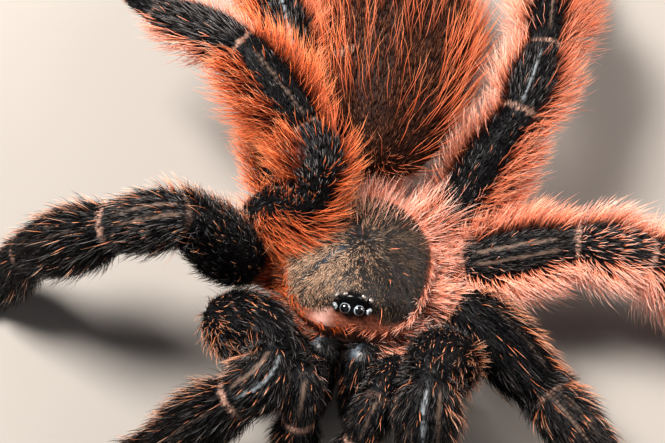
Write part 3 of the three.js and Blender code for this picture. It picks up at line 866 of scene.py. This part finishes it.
def stripe_marks(name, segment, share, turn, radius):
    """How pale and how brown a bare stripe makes each place, from 0 to 1. The pale stripe is bare cuticle
    whose bluish tone is partly a painted highlight.
    """
    kind, side = name.rsplit("_", 1)
    turn = turn * (1 if side == "right" else -1)
    found = {"white": np.zeros(len(share)), "brown": np.zeros(len(share))}
    for number, stripes in LEG_STRIPES[kind].items():
        along = (segment == number) * np.clip((share - 0.08) / 0.08, 0, 1)
        along = along * np.clip((0.92 - share) / 0.08, 0, 1)
        for degrees, half, colour in stripes:
            off = np.abs(turn - math.radians(degrees)) * radius
            found[colour] = np.maximum(found[colour], along * np.clip((half - off) / 0.12 + 0.5, 0, 1))
    return found["white"], found["brown"]


def lip_marks(kind, segment, share, turn):
    """How much each place belongs to the pale lip at the near end of knee, shin and foot."""
    length = np.array(LENGTHS[kind])[np.minimum(segment, len(LENGTHS[kind]) - 1)]
    near = np.clip((LIP - share * length) / 0.15 + 0.5, 0, 1) * (segment > 0)
    return near * np.clip((math.radians(85) - np.abs(turn)) / 0.3, 0, 1)


def bare(name):
    """The chance of a hair at each place: hardly any on a marking."""
    def chance(segment, share, turn, radius):
        white, brown = stripe_marks(name, segment, share, turn, radius)
        lip = lip_marks(name.rsplit("_", 1)[0], segment, share, turn)
        return 1 - np.maximum(np.maximum(0.9 * white, 0.92 * brown), 0.7 * lip)
    return chance


# %% [markdown]
# Legs one and two and the palps are black: short hairs lie along them and longer bristles stand
# on their flanks, with short orange ones in between and long orange ones on the rear flank. Legs
# three and four are black only along the back. Dense orange setae stand out from their sides.
# Lengths, shares and lifts are given by segment: femur, patella, tibia, metatarsus and tarsus.

# %% The coat of the limbs
LIMB_VELVET = 21.0  # short hairs on each square millimetre


def pick(values, segment):
    """The value for each place's segment."""
    return np.array(values, float)[np.minimum(segment, len(values) - 1)]


def below(turn):
    """1 on the underside of a limb, 0 on its back."""
    return np.clip((np.abs(turn) - 1.9) / 0.5, 0, 1)


def near_knee(roots):
    """1 at the far end of the femur, 0 elsewhere."""
    return (roots["segment"] == 0) * np.clip((roots["share"] - 0.86) / 0.1, 0, 1)


def outer(name, turn):
    """1 on the flank that a limb turns backwards, -1 on the flank that it turns forwards."""
    return np.sign(turn) * (1 if name.endswith("right") else -1) * (np.abs(turn) > 0.5)


def velvet_on_black(name, tube, small):
    """The short hair that covers a black limb; it stands up round the knee. Some of its hairs are pale:
    partly grey hairs, most of all on the knee, partly painted glints of light.
    """
    free = bare(name)
    velvet = roots_on(tube, LIMB_VELVET, lambda s, a, t, r: free(s, a, t, r) * (1 - 0.6 * below(t)))
    knee = near_knee(velvet)
    length = pick((1.6, 1.5, 2.0, 1.8, 1.2), velvet["segment"]) * small * (1 + 0.5 * knee)
    grey = pick((0.06, 0.4, 0.15, 0.15, 0.12), velvet["segment"]) + 0.15 * knee
    # pale hairs: partly grey hairs, most of all on the knee, partly painted glints of light
    grey_and_glints = rng.uniform(0.4, 0.9, len(knee)) * (rng.random(len(knee)) < grey)
    hairs = lay(velvet, length, 24 + 52 * knee + 10 * below(velvet["turn"]), 0.1, 0.085, pale=grey_and_glints)
    coat(f"coat_{name}_velvet", [hairs], "velvet", 1)


def bristles_on_black(name, tube, small):
    """Longer black bristles on the flanks and in a crown over the knee. Some are pale: painted glints of
    light.
    """
    free = bare(name)

    def flanks(segment, share, turn, radius):
        crown = (segment == 0) * np.clip((share - 0.88) / 0.06, 0, 1) * (np.abs(turn) < 1.5)
        return free(segment, share, turn, radius) * np.clip((np.abs(turn) - 0.5) / 0.4 + crown, 0.08, 1)

    bristle = roots_on(tube, 2.6, flanks)
    length = pick((2.6, 2.4, 2.9, 2.7, 1.6), bristle["segment"]) * small
    # pale bristles: painted glints of light
    grey_and_glints = 0.5 * (rng.random(len(length)) < 0.3)
    crown = near_knee(bristle) * (np.abs(bristle["turn"]) < 1.5)
    hairs = lay(bristle, length * (1 + 0.15 * crown), 44 + 30 * crown, 0.42, 0.085, pale=grey_and_glints, jitter=10)
    coat(f"coat_{name}_bristles", [hairs], "velvet", 3)


def setae_on_black(name, tube, small):
    """Short orange bristles on the back and long ones on the rear flank."""
    free, second = bare(name), name.startswith("leg_2")
    bold = (0.3, 0.8, 0.6, 0.6, 0.4) if second else (1, 0.8, 0.6, 0.6, 0.4)
    dash = roots_on(tube, 0.7, lambda s, a, t, r: free(s, a, t, r) * pick(bold, s) * (np.abs(t) < 1.9))

    def tuft(segment, share):
        """Round the knee of leg two they are denser."""
        return 2.2 * second * (np.abs(segment + share - 1.0) < 0.22)

    def guards(segment, share, turn, radius):
        often = pick((0.9, 0.6, 0.9, 0.7, 0.5), segment) * (1 + 0.8 * (segment == 0) * (share < 0.6))
        often = often + tuft(segment, share) * (np.abs(turn) < 2.3)
        return free(segment, share, turn, radius) * np.where(outer(name, turn) > 0, often, 0.07)

    guard = roots_on(tube, 2.0, guards)
    rear = outer(name, guard["turn"]) > 0
    dense = tuft(guard["segment"], guard["share"])
    length = pick((2.9, 2.6, 2.9, 2.6, 1.6), guard["segment"]) * small + 0.35 * dense
    short = lay(dash, 1.25 * small, 16, 0.3, 0.17, tone=(0.6, 1.05), pale=0.15, jitter=9)
    pale = np.where(guard["segment"] > 0, 0.9, 0.4) * rng.random(len(rear)) * (dense == 0)
    long = lay(guard, length, 42 + 8 * rear, 0.36, 0.08 + 0.006 * dense, pale=pale,
               tone=(0.7, 1.25) if second else (0.45, 1.05), jitter=10)
    coat(f"coat_{name}_setae", [short, long], "dash", 3)


def grow_black_limb(name, tube):
    small = 0.72 if name.startswith("palp") else 1.0
    velvet_on_black(name, tube, small)
    bristles_on_black(name, tube, small)
    setae_on_black(name, tube, small)


# How pale the fringe is on a leg's two flanks: at negative turns, then at positive ones. The
# high values on the animal's left legs are painted light from the low light on that side.
FRINGE_PALENESS = {"leg_3_left": (0.5, 1.0), "leg_4_left": (0.75, 0.35), "leg_4_right": (0.1, 0.3)}
BLACK_BACK = (33, 36, 29, 44, 70)  # how far the black reaches from the middle of the back, in degrees


def velvet_on_orange(name, tube):
    """The black hair along the back, thin on the flanks."""
    free = bare(name)
    velvet = roots_on(tube, LIMB_VELVET, lambda s, a, t, r: free(s, a, t, r) * np.clip(
        1.5 + 1.1 * (name in BLACK_TO) * (s == 0) * (t > 0) - np.abs(t), 0.25, 1))
    length = pick((1.2, 1.4, 1.1, 1.9, 1.1), velvet["segment"])
    grey = pick((0.34 if name == "leg_3_left" else 0.06, 0.25, 0.04, 0.35, 0.1), velvet["segment"])
    hairs = lay(velvet, length, 26, 0.1, 0.09, pale=0.7 * (rng.random(len(length)) < grey))
    coat(f"coat_{name}_velvet", [hairs], "velvet", 1)


def fringe_on_orange(name, tube):
    """Long orange setae that stand out from the flanks."""
    brush = name == "leg_3_left"  # its knee and shin are brushy all round
    drawn_up = name in BLACK_TO

    def flank(segment, share, turn, radius):
        edge = np.radians(pick(BLACK_BACK, segment))
        edge = np.where((segment == 0) & (turn > 0), math.radians(BLACK_TO.get(name, BLACK_BACK[0])), edge)
        least = 0.04 + 0.3 * brush * (segment > 0) + 0.2 * drawn_up * (segment < 2)
        side = np.clip((np.abs(turn) - edge) / 0.25, least, 1)
        return pick((1.0, 0.9, 1.0, 0.5, 0.1), segment) * side * (1 - 0.6 * below(turn) * (not drawn_up))

    fringe = roots_on(tube, 8.3, flank)
    segment, share, turn = fringe["segment"], fringe["share"], fringe["turn"]
    full = 0.6 + 0.4 * np.sin(np.pi * np.clip(share, 0.08, 0.95)) ** 0.6
    length = pick((4.7, 4.7, 5.7, 3.7, 1.6), segment) * full * np.where(np.abs(turn) < 0.62, 0.45, 1)
    length = length * np.where(rng.random(len(length)) < 0.1, 1.25, 1)
    hanging = (segment == 0) * (turn > 0.8) * (turn < 2.3) * drawn_up
    lift = np.where(hanging, 50, pick((74, 66, 74, 56, 42), segment))
    # paler on the animal's left legs, and lighter in tone on the brush: painted light from the low light on
    # that side
    negative, positive = FRINGE_PALENESS.get(name, (0.1, 0.1))
    pink = np.where(turn > 0, positive, negative) + 0.5 * (segment >= 3)
    pink = pink + 0.35 * (segment > 0) * brush
    hairs = lay(fringe, length, lift, 0.32, 0.098, pale=pink, wave=0.03, jitter=10,
                tone=(0.8, 1.3) if brush else (0.5, 1.15), lean=52 * hanging)
    coat(f"coat_{name}_fringe", [hairs], "fringe", 3)


def grow_orange_limb(name, tube):
    velvet_on_orange(name, tube)
    fringe_on_orange(name, tube)


for name, tube in limbs.items():
    (grow_orange_limb if name.startswith(("leg_3", "leg_4")) else grow_black_limb)(name, tube)

# %% [markdown]
# The abdomen is dark velvet with long wavy orange setae that sweep back over it, thickest on its
# flanks. The coxae and the waist carry pink-orange tufts that fill the space under the shield; on
# the animal's left they are paler, as painted light.

# %% The coat of the trunk
def abdomen_coat(tube):
    velvet = roots_on(tube, 18.0, lambda s, a, t, r: 1 - 0.6 * below(t))
    share = np.clip((velvet["share"] - 0.05) / 0.3, 0, 1)
    tawny = rng.uniform(0.5, 1, len(share)) * (rng.random(len(share)) < 0.08 + 0.3 * share)
    coat("coat_abdomen_velvet",
         [lay(velvet, 1.1, 24, 0.1, 0.095, pale=tawny, tone=(0.6, 1.1))],
         "abdomen", 1)
    seta = roots_on(tube, 2.0, lambda s, a, t, r: np.clip(0.26 + 0.74 * (np.abs(t) - 0.5) / 0.7, 0.26, 1)
                    * (1 - 0.6 * below(t)) * np.clip(0.12 + a / 0.25, 0, 1))
    length = 7.0 - 2.6 * (seta["share"] < 0.1)
    lift = 20 + 12 * np.clip(np.abs(seta["turn"]) - 0.8, 0, 1)
    collar = roots_on(tube, 3.2, lambda s, a, t, r: np.clip((0.075 - a) / 0.04, 0, 1))
    coat("coat_abdomen_setae", [
        lay(seta, length, lift, 0.16, 0.09, wave=0.04, pale=0.15, jitter=8, clump=7, tone=(0.7, 1.15)),
        lay(collar, 2.2, 62, 0.2, 0.085, pale=0.2, wave=0.03, jitter=14, tone=(0.4, 1.0))],
        "fringe", 4)


def underbody_coat():
    dark, tufts = [], []
    names = [n for n in trunk if n.startswith(("coxa", "waist", "spinneret"))]
    for number, name in enumerate(names):
        tube, strip = trunk[name], (number / len(names), (number + 1) / len(names))
        roots = roots_on(tube, 3.5, strip=strip)
        dark.append(lay(roots, 1.1, 28, 0.1, 0.1))
        if name.startswith("spinneret"):
            continue
        behind = name.startswith(("coxa_leg_3", "coxa_leg_4", "waist", "coxa_leg_2"))
        rear = name.startswith(("coxa_leg_4", "waist"))
        roots = roots_on(tube, 10.5 if rear else 8.0 if behind else 4.5,
                         lambda s, a, t, r: np.clip(1.6 + 0.7 * rear - np.abs(t) / 1.2, 0.1, 1), strip)
        # the tufts on the animal's left are paler: painted light from the low light on that side
        pink = {"left": 0.95, "right": 0.1}.get(name.rsplit("_", 1)[-1], 0.8)
        tufts.append(lay(roots, 2.6 + 4.2 * rear, 42 + 22 * rear, 0.3, 0.09, pale=pink, wave=0.03, jitter=14,
                         tone=(0.8, 1.3)))
    coat("coat_underbody_velvet", dark, "velvet", 1)
    coat("coat_underbody_tufts", tufts, "fringe", 3)


abdomen_coat(trunk["abdomen"])
underbody_coat()

# %% [markdown]
# The shield's setae are the shortest of all. They lie flat and run out from the fovea, and turn
# to the front on the head. Golden ones lie among the dark ones and leave the grooves, the hump and
# the clypeus bare. As painted light and shade, they are more and paler on the animal's right half,
# on the ridges and in patches on the front and right flank, which face the key light. Orange
# bristles fringe its edge and a few stand behind the eyes.

# %% The coat of the shield
def shield_roots(per_mm2, low, high):
    """Places on the shield between two shares of its outline, with directions out from the fovea."""
    length = max(FRONT[0], REAR[0])
    count = int(4 * HALF_WIDTH * length * per_mm2 * THINNED)
    x, y = rng.uniform(-HALF_WIDTH, HALF_WIDTH, count), WIDEST_Y + rng.uniform(-length, length, count)
    share = shield_share(x / (HALF_WIDTH - 0.25), (WIDEST_Y - y) * 1.025)
    inside = (share > low) & (share < high)
    x, y, share, count = x[inside], y[inside], share[inside], int(inside.sum())
    step = 0.05
    slope_x = (shield_skin(x + step, y) - shield_skin(x - step, y)) / (2 * step)
    slope_y = (shield_skin(x, y + step) - shield_skin(x, y - step)) / (2 * step)
    normal = unit(turned(-slope_x, -slope_y, np.ones(count)))
    on_head = np.clip(1.4 - np.abs(np.arctan2(x, FOVEA_Y - y)), 0, 0.75)  # there they turn to the front
    away = turned(x * (1 - on_head), (y - FOVEA_Y) - 2 * on_head, np.zeros(count))
    forward = unit(away - normal * (away * normal).sum(1)[:, None])
    unwrap = np.stack([0.5 + 0.48 * x / HALF_WIDTH, 0.5 + 0.48 * (y - WIDEST_Y) / length], axis=1)
    return {"root": on_body(x, y, np.maximum(shield_skin(x, y), 0)), "forward": forward, "normal": normal,
            "side": np.cross(forward, normal), "segment": np.zeros(count, int), "share": share,
            "turn": np.zeros(count), "unwrap": unwrap, "x": x, "y": y}


def kept(roots, chance):
    keep = rng.random(len(roots["root"])) < chance
    return {key: value[keep] for key, value in roots.items()}


def clear_of_face(roots):
    """The chance of a hair: none on the clypeus or on an eye."""
    x, y = roots["x"], roots["y"]
    free = 1 - clypeus_share(x, y, roots["share"])
    for eye_x, eye_y, radius, _, _ in EYES.values():
        free = free * (np.hypot(np.abs(x) - eye_x, y - eye_y) > radius * 0.95)
    return free


def shield_coat():
    dark = shield_roots(95.0, 0, 0.985)
    dark = kept(dark, clear_of_face(dark))
    gold = shield_roots(84.0, 0, 0.985)
    x, y = gold["x"], gold["y"]
    reach, turn = np.hypot(x, y - FOVEA_Y), np.arctan2(x, FOVEA_Y - y)
    streaks = drift(np.stack([9 * turn, 0.3 * reach, 0 * x], axis=1), 3.0, 5)
    # painted light and shade: the golden share falls in the grooves and towards the animal's left, and rises
    # on the ridges and in patches that face the key light
    groove = np.clip(shield_top(x, y) - SHIELD_COAT - shield_skin(x, y), 0, 0.4)
    golden = 0.5 - 0.075 * x + 0.42 * streaks + 0.25 * drift(gold["root"], 1.2, 8) - 2.2 * groove
    # painted light: patches of more and paler golden hairs on the front and the right flank, and fewer where
    # the painted reflection lies in the grooves
    painted_light_patches = bump(np.hypot(x + 2.8, y + 4.6), 2.0) + bump(np.hypot(x + 7.0, y - 1.0), 2.4)
    painted_light_patches = painted_light_patches - 0.9 * bump(np.hypot(x + 3.8, y - 0.2), 1.7)
    golden = golden + 0.4 * ridges(x, y) - 0.2 * bump(reach, 1.0) + 0.35 * painted_light_patches
    off_hump = np.hypot(x / 2.6, (y - HUMP_Y) / 1.3) > 1
    lit = rng.random(len(x)) < clear_of_face(gold) * np.clip(golden, 0.13, 1) * off_hump
    gold = {key: value[lit] for key, value in gold.items()}
    batches = []
    for roots, length, lift, width in ((dark, 0.62, 16, 0.08), (gold, 1.05, 17, 0.075)):
        small = length * (0.5 + 0.5 * np.clip((np.hypot(roots["x"], roots["y"] - HUMP_Y) - 1.5) / 3, 0, 1))
        # paler towards the animal's right and in the lit patches: painted light
        pale = np.clip(0.78 - 0.14 * x + 0.4 * painted_light_patches, 0.2, 1.3)[lit] if roots is gold else 0.0
        batches.append(lay(roots, small, lift, 0.05, width, pale=pale, jitter=13, tone=(0.45, 1.25),
                           lean=26 * drift(roots["root"], 2.4, 6)))
    coat("coat_shield", batches, "shield", 1)
    edge = shield_roots(60.0, 0.965, 1.0)
    face = clypeus_share(edge["x"], edge["y"], edge["share"]) > 0
    edge = kept(edge, np.where(face, 0.2, 1))
    rear = np.clip((edge["y"] - 4) / 4, 0, 1)
    # paler towards the rear and on the animal's left; the paleness on the left is painted light
    pink = np.clip(0.25 + 0.1 * edge["x"] + 0.3 * rear, 0, 0.95)
    long = shield_roots(0.6 / THINNED, 0.1, 0.95)
    long = kept(long, clear_of_face(long) * (0.15 + 0.7 * bump(np.hypot(long["x"], long["y"] + 6.6), 2.4)))
    coat("coat_shield_fringe", [
        lay(edge, 1.7 + 0.8 * rear, 12 + 14 * rear, 0.15, 0.085, pale=pink, jitter=18,
            lean=42 * np.sign(edge["x"]) * (1 - rear) + 14 * drift(edge["root"], 2, 7)),
        lay(long, 1.5, 30, 0.2, 0.09, pale=0.4, jitter=20)], "fringe", 3)


def chelicera_coat():
    dark, bristles = [], []
    for number, side in enumerate(("left", "right")):
        tube, strip = trunk[f"chelicera_{side}"], (number / 2, number / 2 + 0.5)
        roots = roots_on(
            tube, 40.0, lambda s, a, t, r: 1 - bump(a - 0.08, 0.08) * bump(t - 0.65, 0.42), strip)
        grey = 0.7 * (rng.random(len(roots["turn"])) < 0.2)
        dark.append(lay(roots, 1.0 + 0.8 * roots["share"], 30, 0.1, 0.075, pale=grey))
        roots = roots_on(tube, 60.0, lambda s, a, t, r: (a < 0.06) * (1 - bump(t - 0.65, 0.42)), strip)
        dark.append(lay(roots, 1.1, 46, 0.2, 0.075, pale=0.1))
        roots = roots_on(tube, 1.2, lambda s, a, t, r: np.clip(a * 1.5, 0.1, 1), strip)
        bristles.append(lay(roots, 1.8, 36, 0.35, 0.09, pale=0.15))
    coat("coat_chelicerae_velvet", dark, "velvet", 1)
    coat("coat_chelicerae_setae", bristles, "dash", 3)


shield_coat()
chelicera_coat()
print("coat", coat_triangles, "triangles")

# %% [markdown]
# The skin takes its markings from the tube that each of its points lies nearest to: black on the
# legs, brown on the abdomen, pale at the lips and membranes, bare stripes as the coat leaves them.

# %% Markings on the skin
places, owners = [], []
tubes = [t for t in (*limbs.values(), *trunk.values()) if not t.name.startswith("chelicera")]
for number, tube in enumerate(tubes):
    for i in range(len(tube.place)):
        places.append(tube.place[i])
        owners.append((number, i))
tree = KDTree(len(places))
for i, place in enumerate(places):
    tree.insert(place, i)
tree.balance()
co = vertices_of(skin) / MM
nearest = np.array([owners[tree.find(p)[1]] for p in co])
marks = {name: np.zeros(len(co)) for name in ("white", "brown", "pale", "warm", "trunk")}
for number, tube in enumerate(tubes):
    own = nearest[:, 0] == number
    station = nearest[own, 1]
    if tube.name in limbs:
        off = co[own] - tube.place[station]
        turn = np.arctan2((off * tube.side[station]).sum(1), (off * tube.back[station]).sum(1))
        kind = tube.name.rsplit("_", 1)[0]
        segment, share = tube.segment[station], tube.share[station]
        marks["white"][own], marks["brown"][own] = stripe_marks(
            tube.name, segment, share, turn, tube.radius[station])
        marks["pale"][own] = lip_marks(kind, segment, share, turn)
        orange = kind in ("leg_3", "leg_4")
        black_to = np.where((segment == 0) & (turn > 0) & (tube.name in BLACK_TO), 1.4, 0.75)
        marks["warm"][own] = orange * np.clip((np.abs(turn) - black_to) / 0.3, 0, 1) * (segment < 3)
    else:
        marks["trunk"][own] = tube.name == "abdomen"
        marks["warm"][own] = tube.name != "abdomen"
        marks["pale"][own] = 0.5 * (tube.name.startswith("coxa")) + 0.7 * (tube.name == "waist")
for name, values in marks.items():
    add_attribute(skin, name, values)
print("skin marked from", len(tubes), "tubes")

# %% [markdown]
# Cuticle is a dull dark leather under the coat, so it gets a fine grain. Fangs, claws, the hump
# between the eyes and the tops of the chelicerae are bare and glossier. Grain is worked out in
# real millimetres.

# %% Skin, shell and horn materials
def grain(material, shader, size_mm, strength, distance_mm):
    """Fine bumps of a size; the noise under them is returned, to vary the colour with it."""
    place = add_node(material, "ShaderNodeTexCoord")
    noise = add_node(material, "ShaderNodeTexNoise", [("Vector", place, "Object")],
                     Scale=1000 / size_mm, Detail=3.0, Roughness=0.6)
    bumpy = add_node(material, "ShaderNodeBump", [("Height", noise, "Fac")],
                     Strength=strength, Distance=distance_mm * MM)
    link(material, bumpy, "Normal", shader, "Normal")
    return noise


def skin_material():
    """Flesh: black leather, brown on the abdomen, red under the orange setae, pale at the joints."""
    material, shader = new_material("velvet_cuticle", Roughness=0.6, IOR=1.5, Specular_IOR_Level=0.12)
    noise = grain(material, shader, 0.25, 0.5, 0.08)
    black, brown, red, pale = (ramp(material, noise, ((0.3, dark), (0.7, light)))
                               for dark, light in (("#050506", "#121317"), ("#140805", "#2C160D"),
                                                   ("#240B06", "#5C220F"), ("#5E4238", "#B08C7C")))
    # the pale stripes' bluish grey is bare cuticle partly lightened as a painted highlight
    layer = layered(material, black, (("trunk", brown), ("warm", red), ("pale", pale),
                                      ("brown", "#5E4D43"), ("white", "#7C848A")))
    link(material, layer, 2, shader, "Base Color")
    return material


def shield_material():
    """Hard plate: dull and dark, its clypeus reddish, its hump glossy black between the eyes.
    A bluish painted reflection of the sky lies in the grooves on its right, and a pale painted sheen
    on the right end of the clypeus.
    """
    material, shader = new_material("shield_cuticle", Roughness=0.6, IOR=1.5, Specular_IOR_Level=0.25)
    noise = grain(material, shader, 0.35, 0.35, 0.06)
    base = ramp(material, noise, ((0.3, "#0B0A0A"), (0.7, "#1C1817")))
    strip = ramp(material, noise, ((0.35, "#642F20"), (0.7, "#A4624A")))
    # painted sheen: pale pink on the clypeus's right end
    strip = layered(material, strip, (("milky", "#C89C90"),))
    # painted reflection: bluish in the grooves on the right
    layer = layered(material, base, (("groove", "#36434F"), ("rim", "#6A3422"), ("clypeus", strip),
                                     ("tubercle", "#060607")))
    dull = add_node(material, "ShaderNodeMapRange", [("Value", attribute(material, "tubercle"), "Fac")],
                    **{"To Min": 0.6, "To Max": 0.22})
    link(material, dull, "Result", shader, "Roughness")
    link(material, layer, 2, shader, "Base Color")
    return material


def horn_material(name, dark, light, roughness, polish=0.4, gloss=0.12):
    """Thick bare cuticle, with a clear gloss; a painted grey-blue highlight lies where the mesh marks it."""
    material, shader = new_material(name, Roughness=roughness, IOR=1.56, Coat_Weight=polish,
                                    Coat_Roughness=gloss)
    noise = grain(material, shader, 0.5, 0.2, 0.04)
    colour = ramp(material, noise, ((0.3, dark), (0.7, light)))
    # painted highlight: grey-blue where the mesh marks it
    colour = layered(material, colour, (("bloom", "#525D68"),))
    link(material, colour, 2, shader, "Base Color")
    return material


def eye_material(name, stops):
    """A wet-looking lens, coloured by the angle from the way that the eye looks."""
    material, shader = new_material(name, Roughness=0.05, IOR=1.5, Coat_Weight=1.0, Coat_Roughness=0.02)
    colour = ramp(material, attribute(material, "off_axis"), stops)
    link(material, colour, "Color", shader, "Base Color")
    return material


def finish(o, material, slot, *nodes):
    o.data.materials.clear()
    o.data.materials.append(material)
    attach(o, "root")
    if nodes:
        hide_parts(*nodes)


hidden = ("carapace", "chelicera", "fang", "eye")
finish(skin, skin_material(), "velvet_coat", *[n for n in frame["nodes"] if not n.startswith(hidden)])
finish(shield, shield_material(), "shield_coat", "carapace")
case_horn = horn_material("case_horn", "#060709", "#14181E", 0.42, 0.2, 0.4)
fang_horn = horn_material("fang_horn", "#0A0706", "#20120D", 0.2)
for side, case, fang in zip(("left", "right"), cases, fangs):
    finish(case, case_horn, "fang_horn", f"chelicera_{side}")
    finish(fang, fang_horn, "fang_horn", f"fang_{side}")
finish(claws, fang_horn, "fang_horn")
dark_eye = eye_material("dark_eye", ((0, "#020203"), (0.54, "#050608"), (0.61, "#6A7985"), (0.68, "#B4C4CE"),
                                     (0.75, "#2A333A"), (1, "#050506")))
pearl_eye = eye_material("pearl_eye", ((0, "#131517"), (0.4, "#33383D"), (0.62, "#A4ACB2"), (0.8, "#3C4146"),
                                       (1, "#070708")))
amber_eye = eye_material("amber_eye", ((0, "#3A3430"), (0.45, "#8A8078"), (0.75, "#3A3430"), (1, "#0A0908")))
for node, eye in eyes.items():
    front = dark_eye if "front_middle" in node else pearl_eye
    finish(eye, amber_eye if "rear" in node else front, "eye", node)
print("materials", len(bpy.data.materials))

# %% [markdown]
# The floor is plain and grey. A soft light high over the animal's right side shapes the coat, a
# weaker one low on its left fills the shadows, and the sky lights the rest.

# %% Floor, light and camera
deselect()
bpy.ops.mesh.primitive_plane_add(size=3)
floor = active()
floor.name = "floor"
paper, paper_shader = new_material("pale_paper", Roughness=0.9)
paper_shader.inputs["Base Color"].default_value = linear("#8F8C88")
floor.data.materials.append(paper)


def soft_light(name, place, size, watts, code):
    deselect()
    bpy.ops.object.light_add(type="AREA", location=place)
    light = active()
    light.name = name
    light.data.size = size
    light.data.energy = watts
    light.data.color = linear(code)[:3]
    light.rotation_euler = (Vector((0, 0, 0.01)) - Vector(place)).to_track_quat("-Z", "Y").to_euler()


soft_light("key", (-0.22, 0.08, 0.34), 0.14, 5.1, "#FFF6EE")
soft_light("fill", (0.28, 0.12, 0.17), 0.2, 1.4, "#FFF2E8")
bpy.context.scene.view_settings.view_transform = "Standard"
world = bpy.data.worlds.new("studio")
bpy.context.scene.world = world
world.use_nodes = True
sky = world.node_tree.nodes["Background"]
sky.inputs["Color"].default_value = linear("#E8EEF5")
sky.inputs["Strength"].default_value = 0.2

VIEW = {"azimuth": -2.0, "elevation": 67.5, "roll": 12.0, "distance": 214.6, "aim": (-4.2, 0.0, 26.0)}
azimuth, elevation, roll = (math.radians(VIEW[k]) for k in ("azimuth", "elevation", "roll"))
back = np.array([math.sin(azimuth) * math.cos(elevation), -math.cos(azimuth) * math.cos(elevation),
                 math.sin(elevation)])
right = unit(np.cross(-back, (0, 0, 1.0)))
up = np.cross(right, -back)
right, up = (right * math.cos(roll) + up * math.sin(roll), up * math.cos(roll) - right * math.sin(roll))
spot = (np.array(VIEW["aim"]) + SHIFT + back * VIEW["distance"]) * MM
bpy.ops.object.camera_add()
camera = active()
camera.data.lens, camera.data.sensor_width = 100, 36
camera.data.clip_start = 0.01
camera.matrix_world = Matrix([[*[axis[i] for axis in (right, up, back)], spot[i]] for i in range(3)]
                             + [[0, 0, 0, 1]])
bpy.context.scene.camera = camera
print("camera at", spot.round(4))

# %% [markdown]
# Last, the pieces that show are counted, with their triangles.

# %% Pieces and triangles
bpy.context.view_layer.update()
shown = [o for o in bpy.context.scene.objects if o.type == "MESH" and not o.hide_render and o != floor]
faces = sum(len(o.data.polygons) * (2 if len(o.data.polygons[0].vertices) == 4 else 1) for o in shown)
print("pieces", len(shown), "triangles about", faces)
